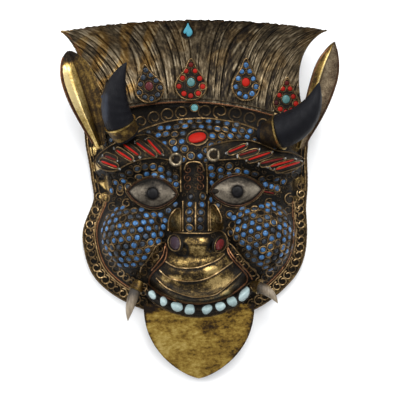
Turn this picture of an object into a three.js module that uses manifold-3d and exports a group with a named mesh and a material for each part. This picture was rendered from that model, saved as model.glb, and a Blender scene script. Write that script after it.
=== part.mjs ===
// A bull-faced dance mask of raised sheet brass and copper, lying on its rim with the face up (+Z).
// +Y runs towards the crown of hair, +X to the right of someone looking at the face. Lengths are millimetres.
// Places are given in the face frame: its origin is at the root of the nose, between the eyes, and its
// z = 0 is the plane that the rim rests on.
import * as THREE from "three";
import Module from "manifold-3d";

const wasm = await Module();
wasm.setup();

// Sheets and gaps
const wall = 1.5; // raised sheet of the face
const hairSheet = 1.4;
const earSheet = 1.1;
const tongueSheet = 1.3;
const socketSheet = 1.2;
const seam = 0.35; // solder line or clearance between two pieces

// Heights above the rim plane
const rimHeight = 7; // outer edge of the border
const borderHeight = 14; // inner edge of the border, at the foot of the face
const faceRise = 34; // from the border to the top of the plain dome of the face
const crownHeight = 24; // middle of the hair sheet, at its foot
const crownFall = 12; // how much lower the hair sheet's sides are

// The rim's outline, seen from the front, anticlockwise from the right-hand side
const rim = [
  [111, -34], [110, -10], [111, 6], [111, 40], [112, 62], [111, 84], [105, 99], [70, 107], [0, 111],
  [-70, 107], [-107, 99], [-113, 84], [-113, 62], [-109, 38], [-107, 24], [-104, 6], [-105, -3], [-109, -13],
  [-114, -26], [-115.5, -36], [-114, -50], [-106, -74], [-93, -89], [-55, -110], [-30, -118], [0, -121],
  [32, -118], [59, -110], [87, -90], [101, -74], [108, -58],
];
const faceCentre = [0, -8];
const borderShare = 0.87; // how far out the face's foot lies, from the centre to the rim
const domePower = 3.2;
const domeRound = 0.6;
const shelfFoot = [68, 88]; // between these, the border rises to carry the hair sheet

// Bosses raised in the sheet: centre, half-axes, the height of the foot, the rise above it, lean in
// degrees, and how full the boss is (0.5 is a half ball, more is gentler)
const cheek = { rx: 40, ry: 41, foot: 12, rise: 52, lean: 0, full: 0.5 };
const bosses = [
  { ...cheek, at: [-59, -37] }, // left cheek
  { ...cheek, at: [60, -36] }, // right cheek
  { at: [0, 45], rx: 72, ry: 39, foot: 16, rise: 46, lean: 0, full: 0.62 }, // forehead
  { at: [-58, 40], rx: 46, ry: 27, foot: 16, rise: 42, lean: 8, full: 0.7 }, // left brow
  { at: [60, 40], rx: 47, ry: 26, foot: 16, rise: 42, lean: -8, full: 0.7 }, // right brow
  { at: [-2, -4], rx: 21, ry: 52, foot: 18, rise: 50, lean: 0, full: 0.5 }, // bridge of the nose
  { at: [-1, -22], rx: 31, ry: 28, foot: 20, rise: 53, lean: 0, full: 0.5 }, // wings of the nose
  { at: [0.5, -44], rx: 35, ry: 22, foot: 20, rise: 61, lean: 0, full: 0.5 }, // snout
  { at: [1, -68], rx: 54, ry: 40, foot: 14, rise: 60, lean: 0, full: 0.5 }, // upper lip
  { at: [-44, 7], rx: 28, ry: 20, foot: 18, rise: 35, lean: 0, full: 0.5 }, // left eyeball
  { at: [39.5, 9.5], rx: 29, ry: 20, foot: 18, rise: 35, lean: 0, full: 0.5 }, // right eyeball
];
const bossBlend = 7; // width of the fillet where bosses meet

// The row of teeth stands on a raised band that follows a curve under the lip
const gum = { x: 1, y: -109.5, curve: 0.0072, halfWidth: 8.5, halfLength: 57, foot: 12, rise: 31 };

// Teeth: x along the band, half-width, half-height, lean in degrees
const teeth = [
  [-44.6, 3.2, 4.8, 25], [-33.4, 3.6, 4.6, 10], [-20, 5.0, 5.4, 15], [-7.2, 5.1, 5.2, 0],
  [10, 5.6, 4.1, 30], [23.2, 4.7, 4.6, 30], [35, 4.5, 5.5, 20], [47.2, 5.0, 7.5, -15],
];
const toothRise = 3.2;

// Eyes: centre, half-width, half-height and lean in degrees, and the pupil's place on the eye
const eyes = {
  left: { at: [-44, 7], rx: 23.5, ry: 13.8, lean: -4, pupil: [0, -0.5] },
  right: { at: [39, 9.5], rx: 25, ry: 14, lean: 3, pupil: [1, -1] },
};
const eyePlate = 1.6;
const pupilRadius = 6.1;
const pupilRise = 1.8;

// Eyebrows: outlines on the face, coral bars given by their two ends, and a ring at the inner end
const brows = {
  left: {
    outline: [[-100, 38], [-95, 46], [-80, 56], [-66, 62], [-50, 64], [-36, 57], [-26, 49], [-24, 40],
      [-38, 42], [-56, 40], [-70, 35], [-80, 30], [-92, 31]],
    bars: [[-48.6, 59.5, -35.6, 45.4], [-59.8, 56.6, -42, 43.4], [-73, 55.4, -58.2, 44.6],
      [-79.7, 49.2, -65, 39.6], [-91.3, 43.8, -80.6, 39.6], [-95.2, 38.6, -79.5, 32.6]],
    ring: [-20.8, 40],
  },
  right: {
    outline: [[10, 51], [20, 55], [34, 58], [50, 58], [64, 54], [78, 48], [92, 46], [105, 41], [103, 35],
      [88, 28], [74, 31], [58, 38], [42, 41], [24, 40], [14, 41]],
    bars: [[31.5, 47.4, 47.8, 54.4], [42.5, 44.4, 59.3, 49.4], [51.2, 39.8, 72.3, 46.9],
      [63.6, 36.2, 85.1, 41.2], [73.1, 33.3, 96.1, 39.8], [78.5, 30.3, 102.5, 37.8]],
    ring: [16.3, 44.5],
  },
};
const browPlate = 2.6;
const barHalfWidth = 1.5;
const barRise = 1.7;
const ringRadius = 5.4;
const ringTube = 1.7;
const ringRise = 1.2; // how far the ring stands over the brow plate

// Single stones set on the face: centre, half-axes, rise and lean
const coralStone = { at: [0.3, 61.8], rx: 8.8, ry: 5, rise: 4, lean: 13 };
const nostrilStones = {
  left: { at: [-21.6, -42.5], rx: 5.4, ry: 7, rise: 3, lean: 15 },
  right: { at: [22.6, -44], rx: 4.8, ry: 7.4, rise: 3, lean: -25 },
};
const bandStone = { at: [-2.5, 92.5], rx: 3.6, ry: 3.6, rise: 2, lean: 0 };

// Crown of hair: its foot is an arch, its locks lean outwards and forwards towards the top edge
const hair = {
  half: 111, // half-width at the foot
  footY: 97, footDrop: 22, footMiddle: -12, // the arch: its top, how far its ends drop, its middle's x
  topY: 179.5, topDrop: 7,
  fanLeft: 27, fanRight: 20, // how far the outermost locks lean out at the top edge
  fanPower: 5, fanMiddle: -4, // how suddenly they do, and the x where none leans
  waist: 9, // how far the right-hand edge draws in, halfway up
  flare: 26, flarePower: 3, // how far the top edge curls forwards
  rowPower: 1.12, // rows lie closer together towards the top edge
};
const locks = 18;
const lockRelief = 1.5;
const hairRows = 7;

// Jewels on the crown: how far each lies from the middle and how high, its half-axes, all as shares of the
// hair's half-width or height, and its lean in degrees
const hairTall = hair.topY - hair.footY;
const jewelOf = (across, up, halfWide, halfTall, lean) => ({
  at: [across * hair.half, hair.footY + up * hairTall],
  rx: halfWide * hair.half, ry: halfTall * hair.half, lean,
});
const jewels = [
  jewelOf(-0.775, 0.085, 0.126, 0.171, 12),
  jewelOf(-0.438, 0.242, 0.135, 0.18, 12),
  jewelOf(-0.054, 0.29, 0.149, 0.194, 0),
  jewelOf(0.441, 0.29, 0.131, 0.198, 0),
  jewelOf(0.806, 0.085, 0.122, 0.18, -2),
];
const jewelPlate = 1.6;
const jewelStone = { rx: 3.9, ry: 4.4, rise: 2.2, drop: 3 };
const topStone = { at: [-0.081 * hair.half, hair.topY - 10], rx: 4.6, ry: 6.6, rise: 2, lean: 0 };

// Horns and tusks: a bent middle line, the greatest radius, the radius at the root, and how much of the
// length the metal socket takes
const horns = {
  left: {
    from: [-68, 62, 45], bend: [-94, 98, 66], to: [-69.5, 136, 68],
    radius: 15, root: 12.4, socket: 0.2,
  },
  right: {
    from: [60, 66, 44], bend: [112, 64, 62], to: [120.5, 116, 64],
    radius: 17.6, root: 8, socket: 0.24,
  },
};
const tusk = { radius: 5.7, root: 5, socket: 0.2 };
const tusks = {
  left: { ...tusk, from: [-58, -83, 27], bend: [-68, -103, 34], to: [-69, -120.5, 36] },
  right: { ...tusk, from: [56, -86, 27], bend: [73, -88, 36], to: [80.5, -103, 37] },
};
const taperPower = 2.4; // a horn keeps its girth for long and then runs quickly to its tip
const tipSlim = 0.6; // and its end is drawn out this much finer, to a point
const tipRadius = 0.4;
const hornSteps = 7;
const hornSides = 10;
const tuskSides = 8;

// Ears: leaf-shaped cups on the temples
const ears = {
  left: { root: [-97, 54, 33], tip: [-128.5, 149, 44], across: [0.94, 0.3, -0.12], half: 17.5 },
  right: { root: [102, 52, 30], tip: [137, 158, 46], across: [0.86, -0.26, -0.45], half: 15 },
};
const earShape = { root: 0.3, widest: 0.66, cup: 6, fold: 3.4, foldAt: -0.35, foldWidth: 0.3 };

// Tongue: a plate that comes out under the teeth
const tongue = { top: -104, tip: -179.5, half: 55.5, middle: 2, rootHeight: 27, tipHeight: 11, crown: 4 };

// How finely the free forms are faceted
const around = 56;
const innerRings = 8;
const innerShare = 0.78;
const borderRings = [0.815, 0.845, borderShare, 0.9, 0.95, 1];
const steepest = 3.2; // the sheet is no thicker than this many walls, measured upright
const hairCutColumns = 12; // how finely the hair's outline is followed where pieces are seated on it
const eyePoints = 8; // along one lid
const jewelSides = 12;
const coralSides = 12;
const stoneSides = 10;
const smallStoneSides = 8;
const stoneDepth = 12; // how deep under the face's surface a stone's block starts, before it is seated
const deep = -30; // blocks used for cutting reach down to here
const high = 95; // and up to here

// Small helpers
const clamp = (v, lo, hi) => Math.min(hi, Math.max(lo, v));
const mix = (a, b, t) => a + (b - a) * t;
const degrees = Math.PI / 180;
const range = (n) => [...Array(n).keys()];
const smoothStep = (lo, hi, v) => {
  const t = clamp((v - lo) / (hi - lo), 0, 1);
  return t * t * (3 - 2 * t);
};
const smoothMax = (a, b, k) => {
  const h = Math.max(k - Math.abs(a - b), 0) / k;
  return Math.max(a, b) + (h * h * k) / 4;
};
const turned = ([x, y], { at, lean = 0 }) => {
  const [c, s] = [Math.cos(lean * degrees), Math.sin(lean * degrees)];
  return [at[0] + x * c - y * s, at[1] + x * s + y * c];
};

// The rim as a radius for each direction from the face's centre
const fullTurn = 2 * Math.PI;
const rimPolar = rim
  .map(([x, y]) => [x - faceCentre[0], y - faceCentre[1]])
  .map(([x, y]) => ({ angle: (Math.atan2(y, x) + fullTurn) % fullTurn, radius: Math.hypot(x, y) }))
  .sort((a, b) => a.angle - b.angle);

function rimPoint(k) {
  const n = rimPolar.length;
  const turn = Math.floor(k / n);
  const p = rimPolar[k - turn * n];
  return { angle: p.angle + turn * fullTurn, radius: p.radius };
}

function rimRadius(angle) {
  const a = angle - fullTurn * Math.floor(angle / fullTurn);
  const k = rimPolar.findLastIndex((p) => p.angle <= a);
  const [before, start, end, after] = [k - 1, k, k + 1, k + 2].map(rimPoint);
  const span = end.angle - start.angle;
  const t = (a - start.angle) / span;
  const slope0 = ((end.radius - before.radius) / (end.angle - before.angle)) * span;
  const slope1 = ((after.radius - start.radius) / (after.angle - start.angle)) * span;
  return (
    (2 * t ** 3 - 3 * t ** 2 + 1) * start.radius + (t ** 3 - 2 * t ** 2 + t) * slope0 +
    (3 * t ** 2 - 2 * t ** 3) * end.radius + (t ** 3 - t ** 2) * slope1
  );
}

// Heights of the sheet over the rim plane
const crownBase = (x) => crownHeight - crownFall * (x / hair.half) ** 2;

function bossHeight(boss, x, y) {
  const c = Math.cos(boss.lean * degrees);
  const s = Math.sin(boss.lean * degrees);
  const dx = x - boss.at[0];
  const dy = y - boss.at[1];
  const q = ((dx * c + dy * s) / boss.rx) ** 2 + ((dy * c - dx * s) / boss.ry) ** 2;
  return q < 1 ? boss.foot + boss.rise * (1 - q) ** boss.full : -Infinity;
}

const gumLine = (x) => gum.y + gum.curve * (x - gum.x) ** 2;

function gumHeight(x, y) {
  const dx = (x - gum.x) / gum.halfLength;
  const dy = (y - gumLine(x)) / gum.halfWidth;
  const q = dx ** 6 + dy ** 2;
  return q < 1 ? gum.foot + gum.rise * (1 - q) ** 0.3 : -Infinity;
}

function faceHeight(x, y) {
  const dx = x - faceCentre[0];
  const dy = y - faceCentre[1];
  const share = Math.hypot(dx, dy) / rimRadius(Math.atan2(dy, dx));
  const inside = clamp(share / borderShare, 0, 1);
  const dome = borderHeight + faceRise * (1 - inside ** domePower) ** domeRound;
  const border = mix(rimHeight, borderHeight, clamp((1 - share) / (1 - borderShare), 0, 1));
  const shelf = smoothStep(...shelfFoot, y) * smoothStep(borderShare - 0.04, borderShare, share);
  let z = share < borderShare ? dome : border;
  z = mix(z, Math.max(z, crownBase(x) - hairSheet - seam), shelf);
  for (const boss of bosses) z = smoothMax(z, bossHeight(boss, x, y), bossBlend);
  return smoothMax(z, gumHeight(x, y), bossBlend);
}

function faceSteepness(x, y) {
  const d = 0.5;
  const gx = (faceHeight(x + d, y) - faceHeight(x - d, y)) / (2 * d);
  const gy = (faceHeight(x, y + d) - faceHeight(x, y - d)) / (2 * d);
  return Math.hypot(1, gx, gy);
}

// A point of the hair sheet: u runs across from -1 to 1, w from the foot (0) to the top edge (1)
function hairPoint(u, w, relief) {
  const footX = u * hair.half;
  const lean = u - hair.fanMiddle / hair.half;
  const reach = lean < 0 ? -hair.fanLeft : hair.fanRight;
  const fan = reach * Math.sqrt(Math.abs(lean)) * w ** hair.fanPower;
  const waist = hair.waist * Math.max(u, 0) ** 3 * Math.sin(Math.PI * w);
  const x = footX + fan - waist;
  const foot = hair.footY - hair.footDrop * ((footX - hair.footMiddle) / hair.half) ** 2;
  const top = hair.topY - hair.topDrop * (x / hair.half) ** 2;
  const y = mix(foot, top, 1 - (1 - w) ** hair.rowPower);
  const ridge = relief * Math.abs(Math.sin((locks * Math.PI * (u + 1)) / 2)) * smoothStep(-0.05, 0.2, w);
  return new THREE.Vector3(x, y, crownBase(footX) + hair.flare * w ** hair.flarePower + ridge);
}

// Solids from rings and grids of points
function solidFrom(points, triangles) {
  const vertProperties = new Float32Array(points.flatMap((p) => [p.x, p.y, p.z]));
  const mesh = new wasm.Mesh({ numProp: 3, vertProperties, triVerts: new Uint32Array(triangles.flat()) });
  return new wasm.Manifold(mesh);
}

function middleOf(ring) {
  return ring.reduce((sum, p) => sum.add(p), new THREE.Vector3()).divideScalar(ring.length);
}

// A closed skin through rings of equally many points, closed by a fan at each end. Each four-sided patch
// is split along the diagonal whose ends are closer, by the measure given.
function loft(rings, apart = (p, q) => p.distanceTo(q)) {
  const n = rings[0].length;
  const points = [...rings.flat(), middleOf(rings[0]), middleOf(rings.at(-1))];
  const [first, last] = [points.length - 2, points.length - 1];
  const end = (rings.length - 1) * n;
  const triangles = [];
  for (const i of range(n)) {
    const j = (i + 1) % n;
    triangles.push([first, j, i], [last, end + i, end + j]);
    for (const r of range(rings.length - 1)) {
      const [a, b, c, d] = [r * n + i, r * n + j, (r + 1) * n + i, (r + 1) * n + j];
      if (apart(points[a], points[d]) < apart(points[b], points[c])) triangles.push([a, b, d], [a, d, c]);
      else triangles.push([a, b, c], [b, d, c]);
    }
  }
  return solidFrom(points, triangles);
}

// A closed sheet between two grids of points, front(i, j) above and back(i, j) below
function sheetSolid(columns, rows, front, back) {
  const grid = (side) => range(rows).flatMap((j) => range(columns).map((i) => side(i, j)));
  const at = (i, j, side) => side * columns * rows + j * columns + i;
  const triangles = [];
  const quad = (a, b, c, d) => triangles.push([a, b, c], [a, c, d]);
  const [right, top] = [columns - 1, rows - 1];
  for (const j of range(top)) {
    for (const i of range(right)) {
      quad(at(i, j, 0), at(i + 1, j, 0), at(i + 1, j + 1, 0), at(i, j + 1, 0));
      quad(at(i, j, 1), at(i, j + 1, 1), at(i + 1, j + 1, 1), at(i + 1, j, 1));
    }
    quad(at(0, j, 0), at(0, j + 1, 0), at(0, j + 1, 1), at(0, j, 1));
    quad(at(right, j, 1), at(right, j + 1, 1), at(right, j + 1, 0), at(right, j, 0));
  }
  for (const i of range(right)) {
    quad(at(i, 0, 1), at(i + 1, 0, 1), at(i + 1, 0, 0), at(i, 0, 0));
    quad(at(i, top, 0), at(i + 1, top, 0), at(i + 1, top, 1), at(i, top, 1));
  }
  return solidFrom([...grid(front), ...grid(back)], triangles);
}

// A sheet given by point(i, j, depth), where depth runs down from its upper face
function thinSheet(columns, rows, thickness, point) {
  return sheetSolid(columns, rows, (i, j) => point(i, j, 0), (i, j) => point(i, j, thickness));
}

// An outline drawn on the face, made into an upright prism whose sides face out
function prism(outline, low, top) {
  const shape = outline.map(([x, y]) => new THREE.Vector2(x, y));
  const ordered = THREE.ShapeUtils.isClockWise(shape) ? shape.reverse() : shape;
  return loft([low, top].map((z) => ordered.map((p) => new THREE.Vector3(p.x, p.y, z))));
}

// An oval prism whose top is drawn in by steps, given as pairs of share and height
function oval(shape, sides, levels) {
  const ring = ([share, z]) => {
    const outline = ovalOutline({ ...shape, rx: shape.rx * share, ry: shape.ry * share }, sides);
    return outline.map(([x, y]) => new THREE.Vector3(x, y, z));
  };
  return loft(levels.map(ring));
}

function ovalOutline(shape, sides) {
  const angles = range(sides).map((i) => (fullTurn * i) / sides);
  return angles.map((a) => turned([shape.rx * Math.cos(a), shape.ry * Math.sin(a)], shape));
}

// Where two pieces would run into each other, the piece gives way by a seam's width on every side
function clearOf(piece, ...neighbours) {
  const steps = [[0, 0, 0], [1, 0, 0], [-1, 0, 0], [0, 1, 0], [0, -1, 0], [0, 0, 1], [0, 0, -1]];
  for (const other of neighbours)
    for (const step of steps) piece = piece.subtract(other.translate(step.map((v) => v * seam)));
  return largest(piece);
}

const largest = (solid) => solid.decompose().sort((a, b) => b.volume() - a.volume())[0];

// The face: rings of points from its centre out to the rim, on both sides of the sheet
const innerShares = range(innerRings).map((i) => (innerShare * (i + 1)) / innerRings);
const ringShares = [...innerShares, ...borderRings];

function polarRing(share, height, inset = 0) {
  return range(around).map((i) => {
    const angle = (fullTurn * i) / around;
    const r = rimRadius(angle) * share - inset;
    const [x, y] = [faceCentre[0] + r * Math.cos(angle), faceCentre[1] + r * Math.sin(angle)];
    return new THREE.Vector3(x, y, height(x, y));
  });
}

// Patches of the face are split along its contours, the same way on both sides of the sheet
const climb = (p, q) => Math.abs(faceHeight(p.x, p.y) - faceHeight(q.x, q.y));

function faceShell() {
  const inner = (x, y) => faceHeight(x, y) - wall * Math.min(steepest, faceSteepness(x, y));
  const outside = ringShares.map((share) => polarRing(share, faceHeight)).reverse();
  const inside = ringShares.slice(0, -1).map((share) => polarRing(share, inner));
  const underLip = polarRing(1, () => rimHeight - wall, wall);
  const foot = [polarRing(1, () => 0, wall), polarRing(1, () => 0)];
  return loft([...inside, underLip, ...foot, ...outside], climb);
}

// Everything under the face, raised by some height: used to seat what lies on the face
function underFace(raise) {
  const rings = ringShares.map((share) => polarRing(share, faceHeight)).reverse();
  return loft([polarRing(1, () => deep), ...rings], climb).translate([0, 0, raise]);
}

// The crown of hair
const hairColumns = 2 * locks + 1;

function hairSolid() {
  const spot = (i, j, relief) => hairPoint((2 * i) / (hairColumns - 1) - 1, j / (hairRows - 1), relief);
  const back = (i, j) => spot(i, j, 0).sub(new THREE.Vector3(0, 0, hairSheet));
  return sheetSolid(hairColumns, hairRows, (i, j) => spot(i, j, lockRelief), back);
}

// Everything under the locks' tops, raised by some height: used to seat what lies on the hair
function underHair(raise) {
  const spot = (i, j) => hairPoint((2 * i) / (hairCutColumns - 1) - 1, j / (hairRows - 1), 0);
  const lift = new THREE.Vector3(0, 0, lockRelief + raise);
  return sheetSolid(hairCutColumns, hairRows, (i, j) => spot(i, j).add(lift), (i, j) => spot(i, j).setZ(deep));
}

// Stones and plates
const stoneLevels = (low, top, rise) => [[1, low], [1, top + 0.4 * rise], [0.6, top + rise]];

function faceStone(stone, sides = stoneSides) {
  const top = faceHeight(...stone.at);
  return oval(stone, sides, stoneLevels(top - stoneDepth, top, stone.rise)).subtract(underFace(seam));
}

function onFace(outline, thickness, gap = seam) {
  return prism(outline, 0, high).intersect(underFace(gap + thickness)).subtract(underFace(gap));
}

function onHair(outline, thickness, gap = seam) {
  return prism(outline, deep, high).intersect(underHair(gap + thickness)).subtract(underHair(gap));
}

function almondOutline(eye) {
  const across = range(eyePoints).map((i) => mix(1, -1, i / (eyePoints - 1)));
  const upper = across.map((t) => [t * eye.rx, eye.ry * (1 - Math.abs(t) ** 1.9) ** 0.9]);
  const lower = upper.slice(1, -1).reverse().map(([x, y]) => [x, -y]);
  return [...upper, ...lower].map((p) => turned(p, eye));
}

function teardropOutline(jewel) {
  return range(jewelSides).map((i) => {
    const a = (fullTurn * i) / jewelSides + Math.PI / 2;
    const pull = Math.max(Math.sin(a), 0) ** 1.6;
    return turned([jewel.rx * Math.cos(a) * (1 - 0.5 * pull), jewel.ry * Math.sin(a)], jewel);
  });
}

// A coral bar on a brow plate: three box sections from one end to the other, seated on the plate
function barSolid([x0, y0, x1, y1]) {
  const length = Math.hypot(x1 - x0, y1 - y0);
  const [nx, ny] = [((y0 - y1) / length) * barHalfWidth, ((x1 - x0) / length) * barHalfWidth];
  const seat = browPlate + 2 * seam;
  const section = (t) => {
    const [x, y] = [mix(x0, x1, t), mix(y0, y1, t)];
    const top = faceHeight(x, y) + seat + barRise;
    const corner = (side, z) => new THREE.Vector3(x + side * nx, y + side * ny, z);
    return [corner(-1, top), corner(-1, 0), corner(1, 0), corner(1, top)];
  };
  return loft([0, 0.5, 1].map(section)).subtract(underFace(seat));
}

function pupilSolid(eye) {
  const at = [eye.at[0] + eye.pupil[0], eye.at[1] + eye.pupil[1]];
  const seat = eyePlate + 2 * seam;
  const top = faceHeight(...at) + seat;
  const disc = oval({ at, rx: pupilRadius, ry: pupilRadius }, stoneSides, stoneLevels(0, top, pupilRise));
  return disc.subtract(underFace(seat));
}

function browRing(at) {
  const top = faceHeight(...at) + seam + browPlate + ringRise;
  const disc = (radius) => ({ at, rx: radius, ry: radius });
  const outer = oval(disc(ringRadius + ringTube), 12, [[1, 0], [1, top - 0.8], [0.86, top]]);
  const hollow = oval(disc(ringRadius - ringTube), 12, [[1, top - 2], [1.15, top + 1]]);
  return outer.subtract(hollow).subtract(underFace(seam));
}

// Horns and tusks: round sections along a bent line
function girth(horn, t) {
  const full = (s) => horn.radius * Math.sqrt(Math.max(1 - s ** taperPower, 0)) * (1 - tipSlim * s ** 4);
  const radius = t < horn.socket ? mix(horn.root, full(horn.socket), t / horn.socket) : full(t);
  return Math.max(radius, tipRadius);
}

const freeStations = (horn) => range(hornSteps).map((k) => mix(horn.socket, 1, k / (hornSteps - 1)));

// A skin round the middle line, standing off it by an extra amount and starting some way behind the root
function hornSolid(horn, sides, extra = 0, behind = 0, ends = freeStations(horn)) {
  const bends = [horn.from, horn.bend, horn.to].map((p) => new THREE.Vector3(...p));
  const line = new THREE.QuadraticBezierCurve3(...bends);
  const stations = [-behind / line.getLength(), horn.socket / 2, ...ends];
  const ring = (t) => {
    const forward = line.getTangent(Math.max(t, 0));
    const side = new THREE.Vector3(0, 0, 1).cross(forward).normalize();
    const up = forward.clone().cross(side);
    const radius = girth(horn, t) + extra;
    return range(sides).map((i) => {
      const a = (fullTurn * i) / sides;
      const spot = line.getPoint(t).addScaledVector(side, radius * Math.cos(a));
      return spot.addScaledVector(up, radius * Math.sin(a));
    });
  };
  return loft(stations.map(ring));
}

// A cup round the root of a horn, cut to sit on the face
function socketSolid(horn, sides) {
  const cup = hornSolid(horn, sides, seam + socketSheet, seam + socketSheet, [horn.socket]);
  return cup.subtract(hornSolid(horn, sides, seam, seam)).subtract(underFace(seam));
}

// Ears: a leaf, cupped across its width and folded along its middle
function earHalf(ear, a) {
  const { root, widest } = earShape;
  if (a < widest) return ear.half * mix(root, 1, Math.sin(((a / widest) * Math.PI) / 2));
  return ear.half * Math.max((1 - ((a - widest) / (1 - widest)) ** 2) ** 0.6, 0.05);
}

function earSolid(ear) {
  const [columns, rows] = [9, 10];
  const root = new THREE.Vector3(...ear.root);
  const along = new THREE.Vector3(...ear.tip).sub(root);
  const across = new THREE.Vector3(...ear.across).normalize();
  const out = across.clone().cross(along).normalize();
  return thinSheet(columns, rows, earSheet, (i, j, depth) => {
    const b = (2 * i) / (columns - 1) - 1;
    const a = j / (rows - 1);
    const cup = earShape.cup * b * b * Math.sin(Math.PI * clamp(a, 0.12, 0.96));
    const crease = Math.exp(-(((b - earShape.foldAt) / earShape.foldWidth) ** 2));
    const lift = cup + earShape.fold * crease * (1 - a ** 4) - depth;
    const spot = root.clone().addScaledVector(along, a).addScaledVector(across, b * earHalf(ear, a));
    return spot.addScaledVector(out, lift);
  });
}

function tongueSolid() {
  const [columns, rows] = [9, 8];
  const half = (t) => tongue.half * Math.max((1 - t ** 2.3) ** 0.72, 0.01);
  return thinSheet(columns, rows, tongueSheet, (i, j, depth) => {
    const b = (2 * i) / (columns - 1) - 1;
    const t = j / (rows - 1);
    const crown = tongue.crown * (1 - b * b) * (1 - t * t);
    const z = mix(tongue.rootHeight, tongue.tipHeight, t) + crown - depth;
    return new THREE.Vector3(tongue.middle - b * half(t), mix(tongue.top, tongue.tip, t), z);
  });
}

// Finishes
function finish(color, metalness, roughness) {
  return new THREE.MeshStandardMaterial({ color, metalness, roughness });
}

const finishes = {
  patina: finish(0x3a3022, 0.8, 0.5),
  hair: finish(0x564a34, 0.8, 0.5),
  brass: finish(0xa8802f, 1, 0.35),
  horn: finish(0x1c1d22, 0, 0.4),
  bone: finish(0x9a8c78, 0, 0.5),
  tin: finish(0x77705f, 0.7, 0.5),
  coral: finish(0xc8200f, 0, 0.25),
  garnet: finish(0x6e2a2c, 0, 0.25),
  turquoise: finish(0x4fa9ad, 0, 0.35),
  opal: finish(0xb5d2d0, 0, 0.25),
};

const face = new THREE.Group();
const placed = new Map();

function add(name, solid, material) {
  const { numVert, numProp, vertProperties, triVerts } = solid.getMesh();
  const corners = range(numVert).flatMap((i) => [...vertProperties.subarray(i * numProp, i * numProp + 3)]);
  const geometry = new THREE.BufferGeometry();
  geometry.setAttribute("position", new THREE.Float32BufferAttribute(corners, 3));
  geometry.setIndex([...triVerts]);
  geometry.computeVertexNormals();
  const piece = new THREE.Mesh(geometry, material);
  piece.name = name;
  face.add(piece);
  placed.set(name, solid);
}

function addSheets() {
  add("face_shell", faceShell(), finishes.patina);
  add("hair_crown", largest(hairSolid().subtract(underFace(seam))), finishes.hair);
  add("tongue", largest(tongueSolid().subtract(underFace(seam))), finishes.brass);
}

function addEyes() {
  for (const [side, eye] of Object.entries(eyes)) {
    add("eye_" + side, onFace(almondOutline(eye), eyePlate), finishes.tin);
    add("pupil_" + side, pupilSolid(eye), finishes.horn);
  }
}

function addBrows() {
  for (const [side, brow] of Object.entries(brows)) {
    const ring = browRing(brow.ring);
    add("brow_ring_" + side, ring, finishes.brass);
    add("brow_" + side, clearOf(onFace(brow.outline, browPlate), ring), finishes.patina);
    brow.bars.forEach((bar, i) => add("brow_bar_" + side + "_" + (i + 1), barSolid(bar), finishes.coral));
  }
}

// The brow plate of one side with the coral bars on it
function browPieces(side) {
  const names = [...placed.keys()].filter((name) => name.startsWith("brow_") && name.includes(side));
  return names.map((name) => placed.get(name));
}

function addHorns() {
  for (const [side, horn] of Object.entries(horns)) {
    const core = hornSolid(horn, hornSides).subtract(underFace(seam));
    add("horn_" + side, clearOf(core, ...browPieces(side)), finishes.horn);
    add("horn_socket_" + side, clearOf(socketSolid(horn, hornSides), ...browPieces(side)), finishes.brass);
  }
}

function addTusks() {
  for (const [side, shape] of Object.entries(tusks)) {
    add("tusk_" + side, hornSolid(shape, tuskSides).subtract(underFace(seam)), finishes.bone);
    add("tusk_socket_" + side, largest(socketSolid(shape, tuskSides)), finishes.brass);
  }
}

function addEars() {
  for (const [side, ear] of Object.entries(ears)) {
    const seated = earSolid(ear).subtract(underFace(seam)).subtract(underHair(seam));
    const hornAndSocket = hornSolid(horns[side], hornSides, 2 * seam + socketSheet);
    add("ear_" + side, clearOf(seated.subtract(hornAndSocket), ...browPieces(side)), finishes.brass);
  }
}

function addStones() {
  teeth.forEach(([x, rx, ry, lean], i) => {
    const tooth = { at: [x, gumLine(x)], rx, ry, lean, rise: toothRise };
    add("tooth_" + (i + 1), faceStone(tooth, smallStoneSides), finishes.opal);
  });
  add("forehead_coral", faceStone(coralStone, coralSides), finishes.coral);
  for (const [side, stone] of Object.entries(nostrilStones)) {
    add("nostril_" + side, faceStone(stone), finishes.garnet);
  }
  add("band_turquoise", clearOf(faceStone(bandStone, smallStoneSides), placed.get("hair_crown")), finishes.turquoise);
}

function addJewels() {
  jewels.forEach((jewel, i) => {
    add("jewel_" + (i + 1), onHair(teardropOutline(jewel), jewelPlate), finishes.hair);
    const at = [jewel.at[0], jewel.at[1] - jewelStone.drop];
    const stone = onHair(ovalOutline({ ...jewelStone, at }, smallStoneSides), jewelStone.rise, jewelPlate + 2 * seam);
    add("jewel_stone_" + (i + 1), stone, i % 2 ? finishes.coral : finishes.turquoise);
  });
  add("crown_turquoise", onHair(ovalOutline(topStone, smallStoneSides), topStone.rise), finishes.turquoise);
}

addSheets();
addEyes();
addBrows();
addHorns();
addTusks();
addEars();
addStones();
addJewels();

// The part's own origin is under the middle of the whole mask, on the plane that it rests on
const bounds = new THREE.Box3().setFromObject(face);
const centre = bounds.getCenter(new THREE.Vector3());
face.position.set(-centre.x, -centre.y, -bounds.min.z);
const mask = new THREE.Group();
mask.add(face);

export default mask;
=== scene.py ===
# Looks of the horned deity dance mask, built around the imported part.
# Lengths here are millimetres in the face frame. Its origin is at the root of the nose, between the eyes,
# and its z = 0 is the plane that the rim rests on. They become metres of the row frame in piece().
import math

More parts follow.
